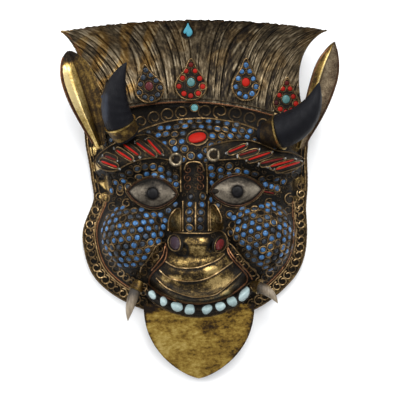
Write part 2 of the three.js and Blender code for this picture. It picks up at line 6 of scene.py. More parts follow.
import bpy
import numpy as np
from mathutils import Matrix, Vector


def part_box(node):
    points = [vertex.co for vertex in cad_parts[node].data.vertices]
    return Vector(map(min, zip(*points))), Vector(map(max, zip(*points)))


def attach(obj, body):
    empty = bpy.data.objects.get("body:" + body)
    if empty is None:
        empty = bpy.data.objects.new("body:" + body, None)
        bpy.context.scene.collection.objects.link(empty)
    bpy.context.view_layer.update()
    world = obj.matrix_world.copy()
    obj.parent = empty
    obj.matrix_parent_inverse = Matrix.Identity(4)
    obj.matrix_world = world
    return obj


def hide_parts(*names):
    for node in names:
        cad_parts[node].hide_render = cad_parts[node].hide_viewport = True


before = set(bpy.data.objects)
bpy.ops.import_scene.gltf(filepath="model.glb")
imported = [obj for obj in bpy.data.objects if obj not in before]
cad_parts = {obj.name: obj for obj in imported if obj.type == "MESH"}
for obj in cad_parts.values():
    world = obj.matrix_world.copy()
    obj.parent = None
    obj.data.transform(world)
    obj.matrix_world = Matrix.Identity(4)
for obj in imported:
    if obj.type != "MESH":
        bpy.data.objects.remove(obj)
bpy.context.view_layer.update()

rng = np.random.default_rng(7)

MM = 0.001
TURN = 2 * math.pi
UP = np.array([0, 0, 1.0])

# Sizes of the sheets and forms, as in the part's source
WALL = 1.5
HAIR_SHEET = 1.4
EAR_SHEET = 1.1
TONGUE_SHEET = 1.3
SOCKET_SHEET = 1.2
SEAM = 0.35
RIM_HEIGHT = 7
BORDER_HEIGHT = 14
FACE_RISE = 34
CROWN_HEIGHT = 24
CROWN_FALL = 12
FACE_CENTRE = (0, -8)
BORDER_SHARE = 0.87
DOME_POWER = 3.2
DOME_ROUND = 0.6
SHELF_FOOT = (68, 88)
BOSS_BLEND = 7
STEEPEST = 3.2
RIM = [
    (111, -34), (110, -10), (111, 6), (111, 40), (112, 62), (111, 84), (105, 99), (70, 107), (0, 111),
    (-70, 107), (-107, 99), (-113, 84), (-113, 62), (-109, 38), (-107, 24), (-104, 6), (-105, -3),
    (-109, -13), (-114, -26), (-115.5, -36), (-114, -50), (-106, -74), (-93, -89), (-55, -110),
    (-30, -118), (0, -121), (32, -118), (59, -110), (87, -90), (101, -74), (108, -58),
]
# Bosses: centre, half-axes, foot, rise, lean in degrees, fullness
BOSSES = [
    ((-59, -37), 40, 41, 12, 52, 0, 0.5),
    ((60, -36), 40, 41, 12, 52, 0, 0.5),
    ((0, 45), 72, 39, 16, 46, 0, 0.62),
    ((-58, 40), 46, 27, 16, 42, 8, 0.7),
    ((60, 40), 47, 26, 16, 42, -8, 0.7),
    ((-2, -4), 21, 52, 18, 50, 0, 0.5),
    ((-1, -22), 31, 28, 20, 53, 0, 0.5),
    ((0.5, -44), 35, 22, 20, 61, 0, 0.5),
    ((1, -68), 54, 40, 14, 60, 0, 0.5),
    ((-44, 7), 28, 20, 18, 35, 0, 0.5),
    ((39.5, 9.5), 29, 20, 18, 35, 0, 0.5),
]
GUM = dict(x=1, y=-109.5, curve=0.0072, half_width=8.5, half_length=57, foot=12, rise=31)
TEETH = [
    (-44.6, 3.2, 4.8, 25), (-33.4, 3.6, 4.6, 10), (-20, 5.0, 5.4, 15), (-7.2, 5.1, 5.2, 0),
    (10, 5.6, 4.1, 30), (23.2, 4.7, 4.6, 30), (35, 4.5, 5.5, 20), (47.2, 5.0, 7.5, -15),
]
TOOTH_RISE = 3.2
EYES = {"left": ((-44, 7), 23.5, 13.8, -4, (0, -0.5)), "right": ((39, 9.5), 25, 14, 3, (1, -1))}
PUPIL = 6.1
PUPIL_RISE = 1.8
BROWS = {
    "left": dict(
        outline=[(-100, 38), (-95, 46), (-80, 56), (-66, 62), (-50, 64), (-36, 57), (-26, 49), (-24, 40),
                 (-38, 42), (-56, 40), (-70, 35), (-80, 30), (-92, 31)],
        bars=[(-48.6, 59.5, -35.6, 45.4), (-59.8, 56.6, -42, 43.4), (-73, 55.4, -58.2, 44.6),
              (-79.7, 49.2, -65, 39.6), (-91.3, 43.8, -80.6, 39.6), (-95.2, 38.6, -79.5, 32.6)],
        ring=(-20.8, 40),
    ),
    "right": dict(
        outline=[(10, 51), (20, 55), (34, 58), (50, 58), (64, 54), (78, 48), (92, 46), (105, 41), (103, 35),
                 (88, 28), (74, 31), (58, 38), (42, 41), (24, 40), (14, 41)],
        bars=[(31.5, 47.4, 47.8, 54.4), (42.5, 44.4, 59.3, 49.4), (51.2, 39.8, 72.3, 46.9),
              (63.6, 36.2, 85.1, 41.2), (73.1, 33.3, 96.1, 39.8), (78.5, 30.3, 102.5, 37.8)],
        ring=(16.3, 44.5),
    ),
}
BROW_PLATE = 2.6
BAR_HALF = 1.5
BAR_RISE = 1.7
RING_RADIUS = 5.4
RING_TUBE = 1.7
# Single stones: centre, half-width, half-height, rise, lean
CORAL = ((0.3, 61.8), 8.8, 5, 4, 13)
NOSTRILS = {"left": ((-21.6, -42.5), 5.4, 7, 3, 15), "right": ((22.6, -44), 4.8, 7.4, 3, -25)}
BAND_STONE = ((-2.5, 92.5), 3.6, 3.6, 2, 0)
HAIR = dict(half=111, foot_y=97, foot_drop=22, foot_middle=-12, top_y=179.5, top_drop=7, fan_left=27,
            fan_right=20, fan_power=5, fan_middle=-4, waist=9, flare=26, flare_power=3, row_power=1.12)
LEFT_SWEEP = 2.9  # the sheet's left side leans out more evenly than its solid, which keeps its corners
LOCK_RELIEF = 1.5
HEM_LIFT = 0.4  # the hem of the hair lies this far over the forehead where they meet
TOP_STONE = ((-0.081 * HAIR["half"], HAIR["top_y"] - 10), 4.6, 6.6, 2, 0)
HAIR_TALL = HAIR["top_y"] - HAIR["foot_y"]
# Jewels: distance from the middle, height, half-width and half-height as shares of the hair's, and lean
JEWEL_SHARES = [
    (-0.775, 0.085, 0.126, 0.171, 12), (-0.438, 0.242, 0.135, 0.18, 12), (-0.054, 0.29, 0.149, 0.194, 0),
    (0.441, 0.29, 0.131, 0.198, 0), (0.806, 0.085, 0.122, 0.18, -2),
]
JEWELS = [
    (
        (across * HAIR["half"], HAIR["foot_y"] + up * HAIR_TALL),
        wide * HAIR["half"],
        tall * HAIR["half"],
        lean,
    )
    for across, up, wide, tall, lean in JEWEL_SHARES
]
JEWEL_PLATE = 1.6
JEWEL_STONE = (3.9, 4.4, 2.2, 3)
# Horns and tusks: root, bend, tip, greatest radius, radius at the root, share of the length in the socket
HORNS = {
    "left": ((-68, 62, 45), (-94, 98, 66), (-69.5, 136, 68), 15, 12.4, 0.2),
    "right": ((60, 66, 44), (112, 64, 62), (120.5, 116, 64), 17.6, 8, 0.24),
}
TUSKS = {
    "left": ((-58, -83, 27), (-68, -103, 34), (-69, -120.5, 36), 5.7, 5, 0.2),
    "right": ((56, -86, 27), (73, -88, 36), (80.5, -103, 37), 5.7, 5, 0.2),
}
TAPER_POWER = 2.4
TIP_SLIM = 0.6
TIP_RADIUS = 0.4
EARS = {
    "left": ((-97, 54, 33), (-128.5, 149, 44), (0.94, 0.3, -0.12), 17.5),
    "right": ((102, 52, 30), (137, 158, 46), (0.86, -0.26, -0.45), 15),
}
EAR_ROOT = 0.3
EAR_WIDEST = 0.66
EAR_CUP = 6
EAR_FOLD = 3.4
FOLD_AT = -0.35
FOLD_WIDTH = 0.3
TONGUE = dict(top=-104, tip=-179.5, half=55.5, middle=2, root_z=27, tip_z=11, crown=4)

# The face frame's place in the row frame, from the tongue's sides and tip
tongue_low, tongue_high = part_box("tongue")
ORIGIN = np.array([
    (tongue_low.x + tongue_high.x) / 2 - TONGUE["middle"] * MM,
    tongue_low.y - TONGUE["tip"] * MM,
    0,
])


# Numbers and lines
def smooth_step(low, high, v):
    t = np.clip((v - low) / (high - low), 0, 1)
    return t * t * (3 - 2 * t)


def smooth_max(a, b, width):
    h = np.maximum(width - np.abs(a - b), 0) / width
    return np.maximum(a, b) + h * h * width / 4


def mix(a, b, t):
    return a + (b - a) * t


def bell(v, at, width):
    """1 at a place, fading to nothing on both sides of it."""
    return np.exp(-(((v - at) / width) ** 2))


def unit(v):
    return v / np.linalg.norm(v, axis=-1, keepdims=True)


def turned(points, at, lean):
    c, s = math.cos(math.radians(lean)), math.sin(math.radians(lean))
    return np.asarray(points) @ np.array([[c, s], [-s, c]]) + at


def even(line, step):
    """The same line with its points an even step apart."""
    run = np.r_[0, np.cumsum(np.linalg.norm(np.diff(line, axis=0), axis=1))]
    spots = np.linspace(0, run[-1], max(round(run[-1] / step), 2) + 1)
    return np.column_stack([np.interp(spots, run, c) for c in line.T])


def smooth_path(points, step, closed=False):
    """A smooth line through the points. A closed one comes back to its first point."""
    p = np.asarray(points, float)
    if closed:
        p = np.vstack([p[-1], p, p[:2]])
    else:
        p = np.vstack([2 * p[0] - p[1], p, 2 * p[-1] - p[-2]])
    t = np.linspace(0, 1, 10, endpoint=False)[:, None]
    bends = []
    for a, b, c, d in zip(p[:-3], p[1:-2], p[2:-1], p[3:]):
        cubic = (3 * b - a - 3 * c + d) * t**3
        bends.append((2 * b + (c - a) * t + (2 * a - 5 * b + 4 * c - d) * t**2 + cubic) / 2)
    return even(np.vstack([*bends, p[-2]]), step)


def inside(x, y, outline):
    """How far points lie inside a closed outline, and below zero outside it."""
    nearest = np.full(np.shape(x), np.inf)
    odd = np.zeros(np.shape(x), bool)
    for (ax, ay), (bx, by) in zip(outline, np.roll(outline, -1, axis=0)):
        ex, ey = bx - ax, by - ay
        t = np.clip(((x - ax) * ex + (y - ay) * ey) / max(ex * ex + ey * ey, 1e-9), 0, 1)
        nearest = np.minimum(nearest, np.hypot(x - ax - t * ex, y - ay - t * ey))
        crosses = (ay > y) != (by > y)
        odd ^= crosses & (x < ax + (y - ay) * ex / (ey if ey else 1e-9))
    return np.where(odd, nearest, -nearest)


def waviness(x, y, size, seed):
    """Gentle unevenness of a hammered sheet, from -1 to 1, with lumps of about the given size."""
    draw = np.random.default_rng(seed)
    total = 0
    for _ in range(5):
        a, phase = draw.uniform(0, TURN, 2)
        pitch = TURN / size * draw.uniform(0.6, 1.4)
        total = total + np.sin(pitch * (x * math.cos(a) + y * math.sin(a)) + phase)
    return total / 5


# The sheet of the face
rim_from_centre = np.array(RIM) - FACE_CENTRE
rim_angles = np.arctan2(rim_from_centre[:, 1], rim_from_centre[:, 0]) % TURN
rim_order = np.argsort(rim_angles)
rim_angles = rim_angles[rim_order]
rim_radii = np.hypot(*rim_from_centre.T)[rim_order]
rim_angles = np.r_[rim_angles[-2:] - TURN, rim_angles, rim_angles[:2] + TURN]
rim_radii = np.r_[rim_radii[-2:], rim_radii, rim_radii[:2]]


def rim_radius(angle):
    a = np.mod(angle, TURN)
    k = np.clip(np.searchsorted(rim_angles, a, side="right") - 1, 1, len(rim_angles) - 3)
    a0, a1, a2, a3 = (rim_angles[k + i] for i in (-1, 0, 1, 2))
    r0, r1, r2, r3 = (rim_radii[k + i] for i in (-1, 0, 1, 2))
    t = (a - a1) / (a2 - a1)
    slope1 = (r2 - r0) / (a2 - a0) * (a2 - a1)
    slope2 = (r3 - r1) / (a3 - a1) * (a2 - a1)
    ends = (2 * t**3 - 3 * t**2 + 1) * r1 + (3 * t**2 - 2 * t**3) * r2
    return ends + (t**3 - 2 * t**2 + t) * slope1 + (t**3 - t**2) * slope2


def share_of(x, y):
    """How far out a place is, from 0 at the face's centre to 1 at its rim."""
    dx, dy = x - FACE_CENTRE[0], y - FACE_CENTRE[1]
    return np.hypot(dx, dy) / rim_radius(np.arctan2(dy, dx))


def at_share(share, angle):
    """The place at a share of the way out, in a direction given in degrees."""
    a = np.radians(angle)
    r = rim_radius(a) * share
    return np.column_stack([FACE_CENTRE[0] + r * np.cos(a), FACE_CENTRE[1] + r * np.sin(a)])


def crown_base(x):
    return CROWN_HEIGHT - CROWN_FALL * (x / HAIR["half"]) ** 2


def boss_height(boss, x, y):
    (cx, cy), rx, ry, foot, rise, lean, full = boss
    c, s = math.cos(math.radians(lean)), math.sin(math.radians(lean))
    dx, dy = x - cx, y - cy
    q = ((dx * c + dy * s) / rx) ** 2 + ((dy * c - dx * s) / ry) ** 2
    return np.where(q < 1, foot + rise * np.clip(1 - q, 0, 1) ** full, -1e3)


def gum_line(x):
    return GUM["y"] + GUM["curve"] * (x - GUM["x"]) ** 2


def gum_height(x, y):
    q = ((x - GUM["x"]) / GUM["half_length"]) ** 6 + ((y - gum_line(x)) / GUM["half_width"]) ** 2
    return np.where(q < 1, GUM["foot"] + GUM["rise"] * np.clip(1 - q, 0, 1) ** 0.3, -1e3)


def face_height(x, y):
    share = share_of(x, y)
    within = np.clip(share / BORDER_SHARE, 0, 1)
    dome = BORDER_HEIGHT + FACE_RISE * (1 - within**DOME_POWER) ** DOME_ROUND
    border = mix(RIM_HEIGHT, BORDER_HEIGHT, np.clip((1 - share) / (1 - BORDER_SHARE), 0, 1))
    z = np.where(share < BORDER_SHARE, dome, border)
    shelf = smooth_step(*SHELF_FOOT, y) * smooth_step(BORDER_SHARE - 0.04, BORDER_SHARE, share)
    z = mix(z, np.maximum(z, crown_base(x) - HAIR_SHEET - SEAM), shelf)
    for boss in BOSSES:
        z = smooth_max(z, boss_height(boss, x, y), BOSS_BLEND)
    return smooth_max(z, gum_height(x, y), BOSS_BLEND)


# Chased work on the face: outlines that the smith drew on the sheet
LIP = smooth_path(
    [(-31.5, -43), (-29.6, -49), (-31.5, -59.5), (-39.8, -68.5), (-45.5, -74.8), (-47.8, -81.2),
     (-45.5, -87), (-38.5, -93.3), (-26.4, -99), (-13.7, -101.6), (2.3, -102.9), (17.9, -100.4),
     (28.7, -97.2), (38.9, -90.8), (48.5, -82.5), (50.1, -78.7), (48.5, -74.2), (42.7, -67.2),
     (36.4, -60.8), (30.6, -52.5), (28.7, -44)], 2)
LIP_LINES = [
    [(-30.9, -60.8), (-23.2, -65.3), (-13.7, -67.2), (2.3, -66.2), (12.1, -62.7), (21.7, -58.3),
     (27, -53.5)],
    [(-36.9, -69.4), (-29.6, -76.1), (-18.1, -79.3), (-4.1, -80), (8.7, -77.7), (18.5, -72.9),
     (35.1, -61.5)],
    [(-40.4, -77.4), (-30.9, -86.3), (-18.1, -92), (-4.1, -95.9), (8.7, -95.3), (21.7, -91.4),
     (44, -71.7)],
]
LIP_FITS = [np.polyfit(*np.transpose(line), 3) for line in LIP_LINES]
LIP_ROLL = 2.0
BULB = [(-14, -35), (-9, -34), (6, -34), (13, -35), (14, -42), (9, -48), (-1, -50), (-10, -48), (-14, -43)]
PITS = [
    [(-17, -44), (-12, -43), (-9, -46), (-8, -51), (-11, -55), (-18, -55), (-21, -52)],
    [(15, -40), (19, -42), (18, -49), (13, -52), (9, -51), (11, -46)],
]
NOSE_PANEL_CORNERS = [
    [(-13.8, -31), (-14, -14), (-15, -8), (-18, -6.5), (-23, -10), (-28, -18), (-29.5, -31)],
    [(11, -31), (10.5, -10), (11.5, -3.5), (16, -3.5), (21, -9), (25.5, -20), (26.5, -30)],
]
NOSE_PANELS = [smooth_path(corners, 3, True) for corners in NOSE_PANEL_CORNERS]
HIGHEST = 76  # above this the snout's top is pressed in a little


def relief(x, y):
    """Chased work, raised or sunk in the sheet of the face."""
    in_lip = smooth_step(0, 2.5, inside(x, y, LIP))
    fits = [np.polyval(fit, x) for fit in LIP_FITS]
    lines = [fits[0] + 13, *fits, fits[2] - 9]
    roll = 0
    for upper, lower in zip(lines, lines[1:]):
        t = np.clip((upper - y) / np.maximum(upper - lower, 1), 0, 1)
        roll = roll + np.sin(math.pi * t) ** 0.7
    z = LIP_ROLL * in_lip * (roll - 0.6)
    z = z + 1.8 * smooth_step(-1, 3, inside(x, y, BULB))
    for pit in PITS:
        z = z - 2.6 * smooth_step(-1, 3, inside(x, y, pit))
    for panel in NOSE_PANELS:
        z = z - 1.0 * smooth_step(-0.5, 1.5, inside(x, y, panel))
    share = share_of(x, y)
    z = z + 0.9 * smooth_step(0.97, 0.985, share) - 0.8 * smooth_step(0.85, 0.88, share)
    return z + 0.25 * waviness(x, y, 9, 3) * smooth_step(1, 0.96, share)


def face(x, y):
    z = face_height(x, y) + relief(x, y)
    return np.where(z > HIGHEST, HIGHEST + (z - HIGHEST) * 0.6, z)


# The sheet of hair
def hair_spot(u, w):
    """A point of the hair sheet: u runs across from -1 to 1, w from its foot (0) to its top edge (1)."""
    x = u * HAIR["half"] + hair_lean(u, w)
    foot, top = hair_edges(u, x)
    y = mix(foot, top, 1 - (1 - w) ** HAIR["row_power"])
    return x, y, hair_height(x, y, u, w)


def hair_edges(u, x):
    """How high the sheet's foot and its top edge lie."""
    h = HAIR
    foot = h["foot_y"] - h["foot_drop"] * ((u * h["half"] - h["foot_middle"]) / h["half"]) ** 2
    return foot, h["top_y"] - h["top_drop"] * (x / h["half"]) ** 2


def hair_height(x, y, u, w):
    z = crown_base(u * HAIR["half"]) + HAIR["flare"] * w ** HAIR["flare_power"]
    return np.where(w < 0.4, smooth_max(z, face_height(x, y) + HEM_LIFT, 2), z)


def hair_lean(u, w):
    h = HAIR
    lean = u - h["fan_middle"] / h["half"]
    reach = np.where(lean < 0, -h["fan_left"], h["fan_right"])
    power = np.where(lean < 0, LEFT_SWEEP, h["fan_power"])
    fan = reach * np.sqrt(np.abs(lean)) * w**power
    return fan - h["waist"] * np.maximum(u, 0) ** 3 * np.sin(math.pi * w)


def hair_top(x, y):
    """Height of the locks' tops over a place on the hair sheet."""
    h = HAIR
    u, w = x / h["half"], np.full(np.shape(x), 0.5)
    for _ in range(25):
        foot, top = hair_edges(u, x)
        w = 1 - (1 - np.clip((y - foot) / (top - foot), 0, 1)) ** (1 / h["row_power"])
        u = mix(u, (x - hair_lean(u, w)) / h["half"], 0.6)
    return hair_height(x, y, u, w) + LOCK_RELIEF


# Meshes
def over(surface, x, y, lift=0.0):
    """Points of a surface, or a little over it."""
    return np.column_stack([x, y, surface(x, y) + lift])


def slopes(surface, x, y, d):
    """How steeply a surface rises across and along."""
    across, along = surface(x + d, y) - surface(x - d, y), surface(x, y + d) - surface(x, y - d)
    return across / (2 * d), along / (2 * d)


def frames(surface, x, y):
    """Directions across, along and out of a surface at each place."""
    gx, gy = slopes(surface, x, y, 0.6)
    out = unit(np.stack([-gx, -gy, np.ones_like(gx)], -1))
    across = unit(np.stack([np.ones_like(gx), 0 * gx, gx], -1))
    return np.stack([across, np.cross(out, across), out], 1)


def skin(rings, closed=False):
    """A skin through rings of equally many points, closed by a fan at each end, or round to its start."""
    rings = np.asarray(rings, float)
    count, n = rings.shape[:2]
    i = np.arange(n)
    j = (i + 1) % n
    faces = []
    for r in range(count if closed else count - 1):
        a, b = r * n, (r + 1) % count * n
        faces += np.column_stack([a + i, a + j, b + j, b + i]).tolist()
    points = rings.reshape(-1, 3)
    if closed:
        return points, faces
    first, end = count * n, (count - 1) * n
    faces += [[first, q, p] for p, q in zip(i.tolist(), j.tolist())]
    faces += [[first + 1, end + p, end + q] for p, q in zip(i.tolist(), j.tolist())]
    return np.vstack([points, rings[0].mean(0), rings[-1].mean(0)]), faces


def sheet(front, back):
    """A closed sheet between two grids of points, shaped (rows, columns, 3)."""
    rows, columns = front.shape[:2]
    grid = np.arange(rows * columns).reshape(rows, columns)
    under = grid + rows * columns
    quads = [np.stack([grid[:-1, :-1], grid[:-1, 1:], grid[1:, 1:], grid[1:, :-1]], -1).reshape(-1, 4)]
    turned_down = np.stack([under[:-1, :-1], under[1:, :-1], under[1:, 1:], under[:-1, 1:]], -1)
    quads.append(turned_down.reshape(-1, 4))
    border = np.r_[grid[0, :-1], grid[:-1, -1], grid[-1, :0:-1], grid[:0:-1, 0]]
    ahead = np.roll(border, -1)
    quads.append(np.stack([border, border + rows * columns, ahead + rows * columns, ahead], -1))
    return np.vstack([front.reshape(-1, 3), back.reshape(-1, 3)]), np.vstack(quads).tolist()


def both_sides(front, behind=0.0):
    """Marks of a sheet: one for each point of its front, and the same one all over its back."""
    return np.r_[front.ravel(), np.full(front.size, behind)]


def tube(line, out, radius, sides=6, closed=False):
    """A round wire along a line. out points away from what it lies on."""
    if closed:
        along = unit(np.roll(line, -1, 0) - np.roll(line, 1, 0))
    else:
        along = unit(np.gradient(line, axis=0))
    side = unit(np.cross(along, out))
    up = np.cross(side, along)
    a = np.arange(sides)[None, :, None] * TURN / sides
    radius = np.broadcast_to(radius, len(line))[:, None, None]
    rings = line[:, None] + radius * (np.cos(a) * up[:, None] + np.sin(a) * side[:, None])
    return skin(rings, closed)


def revolve(profile, sides):
    """A turned form: profile gives radius and height from its foot to its crown."""
    a = np.arange(sides) * TURN / sides
    circle = np.column_stack([np.cos(a), np.sin(a)])
    return skin([np.column_stack([circle * r, np.full(sides, z)]) for r, z in profile])


def plate(outline, surface, profile, depth=0.5, rings=7):
    """A plate or stone lying on a surface. profile gives its height there for shares from 0 to 1."""
    centre = outline.mean(0)
    shares = np.sin(np.linspace(0.02, 1, rings) * math.pi / 2)

    def ring(share, raise_by):
        x, y = (centre + (outline - centre) * share).T
        return over(surface, x, y, raise_by)

    foot = [ring(s, -depth) for s in (0.02, 0.5, 1)]
    return skin(foot + [ring(s, profile(s)) for s in shares[::-1]])


def dome(rise, base=0.3, power=3.0, round_by=0.5):
    """A profile for plate(): full in the middle and round at the edge."""
    return lambda s: base + rise * max(1 - s**power, 0) ** round_by


def oval(rx, ry, at, lean=0, sides=32, uneven=0.0, square=1.0):
    a = np.arange(sides) * TURN / sides
    bump = 1 + uneven * rng.normal(0, 1) * np.cos(2 * a + 1) + uneven * np.cos(3 * a + rng.uniform(0, TURN))
    c, s = np.cos(a), np.sin(a)
    flat = np.column_stack([np.sign(c) * np.abs(c) ** square * rx, np.sign(s) * np.abs(s) ** square * ry])
    return turned(flat * bump[:, None], at, lean)


class Heap:
    """Small parts gathered into one mesh, each with a mark of its own."""

    def __init__(self):
        self.points, self.faces, self.marks, self.count = [], [], [], 0

    def add(self, part, mark=0.0):
        points, faces = part
        self.points.append(points)
        self.faces += [[v + self.count for v in f] for f in faces]
        self.marks.append(np.broadcast_to(mark, len(points)))
        self.count += len(points)

    def piece(self, name, *settings, **more):
        marks = {"mark": np.concatenate(self.marks)}
        return piece(name, (np.vstack(self.points), self.faces), *settings, **marks, **more)


def piece(name, part, material, slot, replaces=(), sharp=55, **marks):
    points, faces = part
    mesh = bpy.data.meshes.new(name)
    mesh.from_pydata((points * MM + ORIGIN).tolist(), [], faces)
    mesh.polygons.foreach_set("use_smooth", np.ones(len(faces), bool))
    mesh.set_sharp_from_angle(angle=math.radians(sharp))
    for mark, values in marks.items():
        layer = mesh.attributes.new(mark, "FLOAT", "POINT")
        layer.data.foreach_set("value", np.broadcast_to(values, len(points)).astype(np.float32))
    mesh.materials.append(material)
    obj = bpy.data.objects.new(name, mesh)
    bpy.context.scene.collection.objects.link(obj)
    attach(obj, "root")
    if replaces:
        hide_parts(*replaces)
    return obj


# Materials
class Paint:
    """A material's nodes, added one at a time. Sizes of its patterns are in millimetres."""

    def __init__(self, name, **constants):
        self.material = bpy.data.materials.new(name)
        self.material.use_nodes = True
        self.tree = self.material.node_tree
        self.shader = self.tree.nodes["Principled BSDF"]
        self.place = self.tree.nodes.new("ShaderNodeTexCoord").outputs["Object"]
        for socket, value in constants.items():
            self.shader.inputs[socket.replace("_", " ")].default_value = value

    def node(self, kind, links=(), **settings):
        made = self.tree.nodes.new(kind)
        for key, value in settings.items():
            setattr(made, key, value)
        for key, value in dict(links).items():
            if isinstance(value, bpy.types.NodeSocket):
                self.tree.links.new(value, made.inputs[key])
            else:
                made.inputs[key].default_value = value
        return made

    def noise(self, size, detail=4, rough=0.55, stretch=(1, 1, 1), shift=0.0):
        placing = {"Vector": self.place, "Scale": stretch, "Location": (shift,) * 3}
        mapped = self.node("ShaderNodeMapping", placing).outputs[0]
        links = {"Vector": mapped, "Scale": 1 / (size * MM), "Detail": detail, "Roughness": rough}
        return self.node("ShaderNodeTexNoise", links).outputs["Fac"]

    def mark(self, name="mark"):
        return self.node("ShaderNodeAttribute", attribute_name=name).outputs["Fac"]

    def follow(self, name):
        """Moves the patterns sideways by a mark of the mesh, so that they run along its locks."""
        moved = self.node("ShaderNodeCombineXYZ", {"X": self.mark(name)}).outputs[0]
        added = self.node("ShaderNodeVectorMath", {0: self.place, 1: moved}, operation="ADD")
        self.place = added.outputs[0]

    def maths(self, operation, a, b=0.0, c=0.0, clamp=False):
        links = {0: a, 1: b, 2: c}
        return self.node("ShaderNodeMath", links, operation=operation, use_clamp=clamp).outputs[0]

    def ramp(self, factor, stops):
        made = self.node("ShaderNodeValToRGB", {"Fac": factor})
        elements = made.color_ramp.elements
        while len(elements) < len(stops):
            elements.new(0.5)
        for element, (at, value) in zip(elements, stops):
            element.position = at
            colour = (value,) * 3 if isinstance(value, (int, float)) else value
            element.color = (*colour, 1)
        return made.outputs["Color"]

    def blend(self, factor, a, b):
        return self.node("ShaderNodeMix", {0: factor, 6: a, 7: b}, data_type="RGBA").outputs[2]

    def set(self, **sockets):
        for socket, value in sockets.items():
            self.tree.links.new(value, self.shader.inputs[socket.replace("_", " ")])
        return self

    def bump(self, height, depth):
        links = {"Height": height, "Strength": 1.0, "Distance": depth * MM}
        return self.set(Normal=self.node("ShaderNodeBump", links).outputs[0])


def worn_metal(name, colours, bare="bare", patch=7, fleck=1.6, spread=0.9, rough=(0.62, 0.3), depth=0.35,
               other=None, stretch=(1, 1, 1), slide=None):
    """Metal whose patina is rubbed off where its mark is high, in uneven patches; on some pieces the mark
    holds painted shade and highlights too.

    other is a second set of colours, for where the mesh is marked so. slide names the mark that the
    patterns follow.
    """
    paint = Paint(name, Specular_IOR_Level=0.15)
    if slide:
        paint.follow(slide)
    wide = paint.noise(patch, 5, 0.62, stretch)
    fine = paint.noise(fleck, 4, 0.65, stretch, 0.3)
    patches = paint.maths("MULTIPLY_ADD", wide, spread, -spread / 2)
    flecks = paint.maths("MULTIPLY_ADD", fine, spread, -spread / 2)
    worn = paint.maths("ADD", paint.maths("ADD", paint.mark(bare), patches), flecks, clamp=True)
    places = np.linspace(0.05, 0.95, len(colours)).tolist()
    colour = paint.ramp(worn, list(zip(places, colours)))
    if other:
        colour = paint.blend(paint.mark("other"), colour, paint.ramp(worn, list(zip(places, other))))
    paint.set(
        Base_Color=colour,
        Metallic=paint.ramp(worn, [(0.1, 0.5), (0.5, 1.0)]),
        Roughness=paint.ramp(worn, [(0.1, rough[0]), (0.9, rough[1])]),
    )
    return paint.bump(paint.noise(fleck * 1.5, 4, 0.6, stretch, 0.7), depth).material


def stone(name, colours, size=2.4, roughness=0.24, depth=0.12, cloud=0.5, shine=0.25):
    """Polished stone. Each stone's mark picks its colour along the ramp, and a cloud varies it."""
    paint = Paint(name, Roughness=roughness, Specular_IOR_Level=shine)
    drift = paint.maths("MULTIPLY_ADD", paint.noise(size, 5, 0.6), cloud, -cloud / 2)
    tone = paint.maths("ADD", paint.mark(), drift, clamp=True)
    paint.set(Base_Color=paint.ramp(tone, list(zip(np.linspace(0.0, 1.0, len(colours)).tolist(), colours))))
    return paint.bump(paint.noise(size, 4, 0.6), depth).material


patina = worn_metal(
    "patina",
    [(0.003, 0.0025, 0.0022), (0.010, 0.008, 0.0055), (0.042, 0.028, 0.013), (0.19, 0.125, 0.043),
     (0.48, 0.335, 0.13)],
    patch=5, fleck=1.3, spread=1.05)
wires = worn_metal(
    "wirework",
    [(0.006, 0.005, 0.004), (0.034, 0.023, 0.012), (0.12, 0.076, 0.034), (0.29, 0.19, 0.086),
     (0.52, 0.37, 0.19)],
    bare="mark", patch=5, fleck=1.2, spread=0.7, rough=(0.55, 0.36), depth=0.1)
copper = worn_metal(
    "copper",
    [(0.012, 0.007, 0.005), (0.06, 0.027, 0.014), (0.21, 0.095, 0.045), (0.4, 0.2, 0.1)],
    bare="mark", patch=6, fleck=1.2, spread=0.7, rough=(0.5, 0.36), depth=0.1)
hair_metal = worn_metal(
    "hair_metal",
    [(0.009, 0.007, 0.006), (0.03, 0.024, 0.016), (0.1, 0.079, 0.05), (0.2, 0.16, 0.105),
     (0.36, 0.3, 0.21)],
    patch=7, fleck=2.4, spread=1.4, rough=(0.6, 0.42), depth=0.35, stretch=(1.35, 0.45, 1), slide="slide",
    other=[(0.010, 0.006, 0.003), (0.05, 0.028, 0.010), (0.16, 0.09, 0.028), (0.28, 0.17, 0.058),
           (0.46, 0.33, 0.15)])
gold = worn_metal(
    "gold",
    [(0.009, 0.006, 0.004), (0.05, 0.03, 0.011), (0.2, 0.125, 0.035), (0.46, 0.32, 0.1),
     (0.74, 0.58, 0.27)],
    patch=8, fleck=1.5, spread=0.8, rough=(0.5, 0.32), depth=0.15,
    other=[(0.012, 0.008, 0.006), (0.06, 0.042, 0.03), (0.17, 0.13, 0.095), (0.34, 0.28, 0.21),
           (0.55, 0.48, 0.38)])
tongue_brass = worn_metal(
    "tongue_brass",
    [(0.010, 0.006, 0.004), (0.055, 0.03, 0.008), (0.25, 0.15, 0.03), (0.42, 0.28, 0.062),
     (0.6, 0.44, 0.14)],
    patch=12, fleck=2.6, spread=1.2, rough=(0.55, 0.4), depth=0.15, stretch=(0.65, 1, 1))
blue_stone = stone("blue_stone", [
    (0.006, 0.007, 0.010), (0.016, 0.023, 0.035), (0.03, 0.045, 0.06), (0.018, 0.062, 0.15),
    (0.03, 0.107, 0.25), (0.075, 0.18, 0.33)], size=2.2, roughness=0.36, cloud=2.0)
coral_stone = stone("coral_stone", [
    (0.02, 0.005, 0.005), (0.08, 0.007, 0.005), (0.24, 0.008, 0.004), (0.35, 0.010, 0.004)],
    roughness=0.5, cloud=0.3, shine=0.1)
turquoise_stone = stone("turquoise_stone", [
    (0.016, 0.036, 0.036), (0.05, 0.12, 0.115), (0.085, 0.23, 0.24), (0.08, 0.35, 0.46)], cloud=0.4)
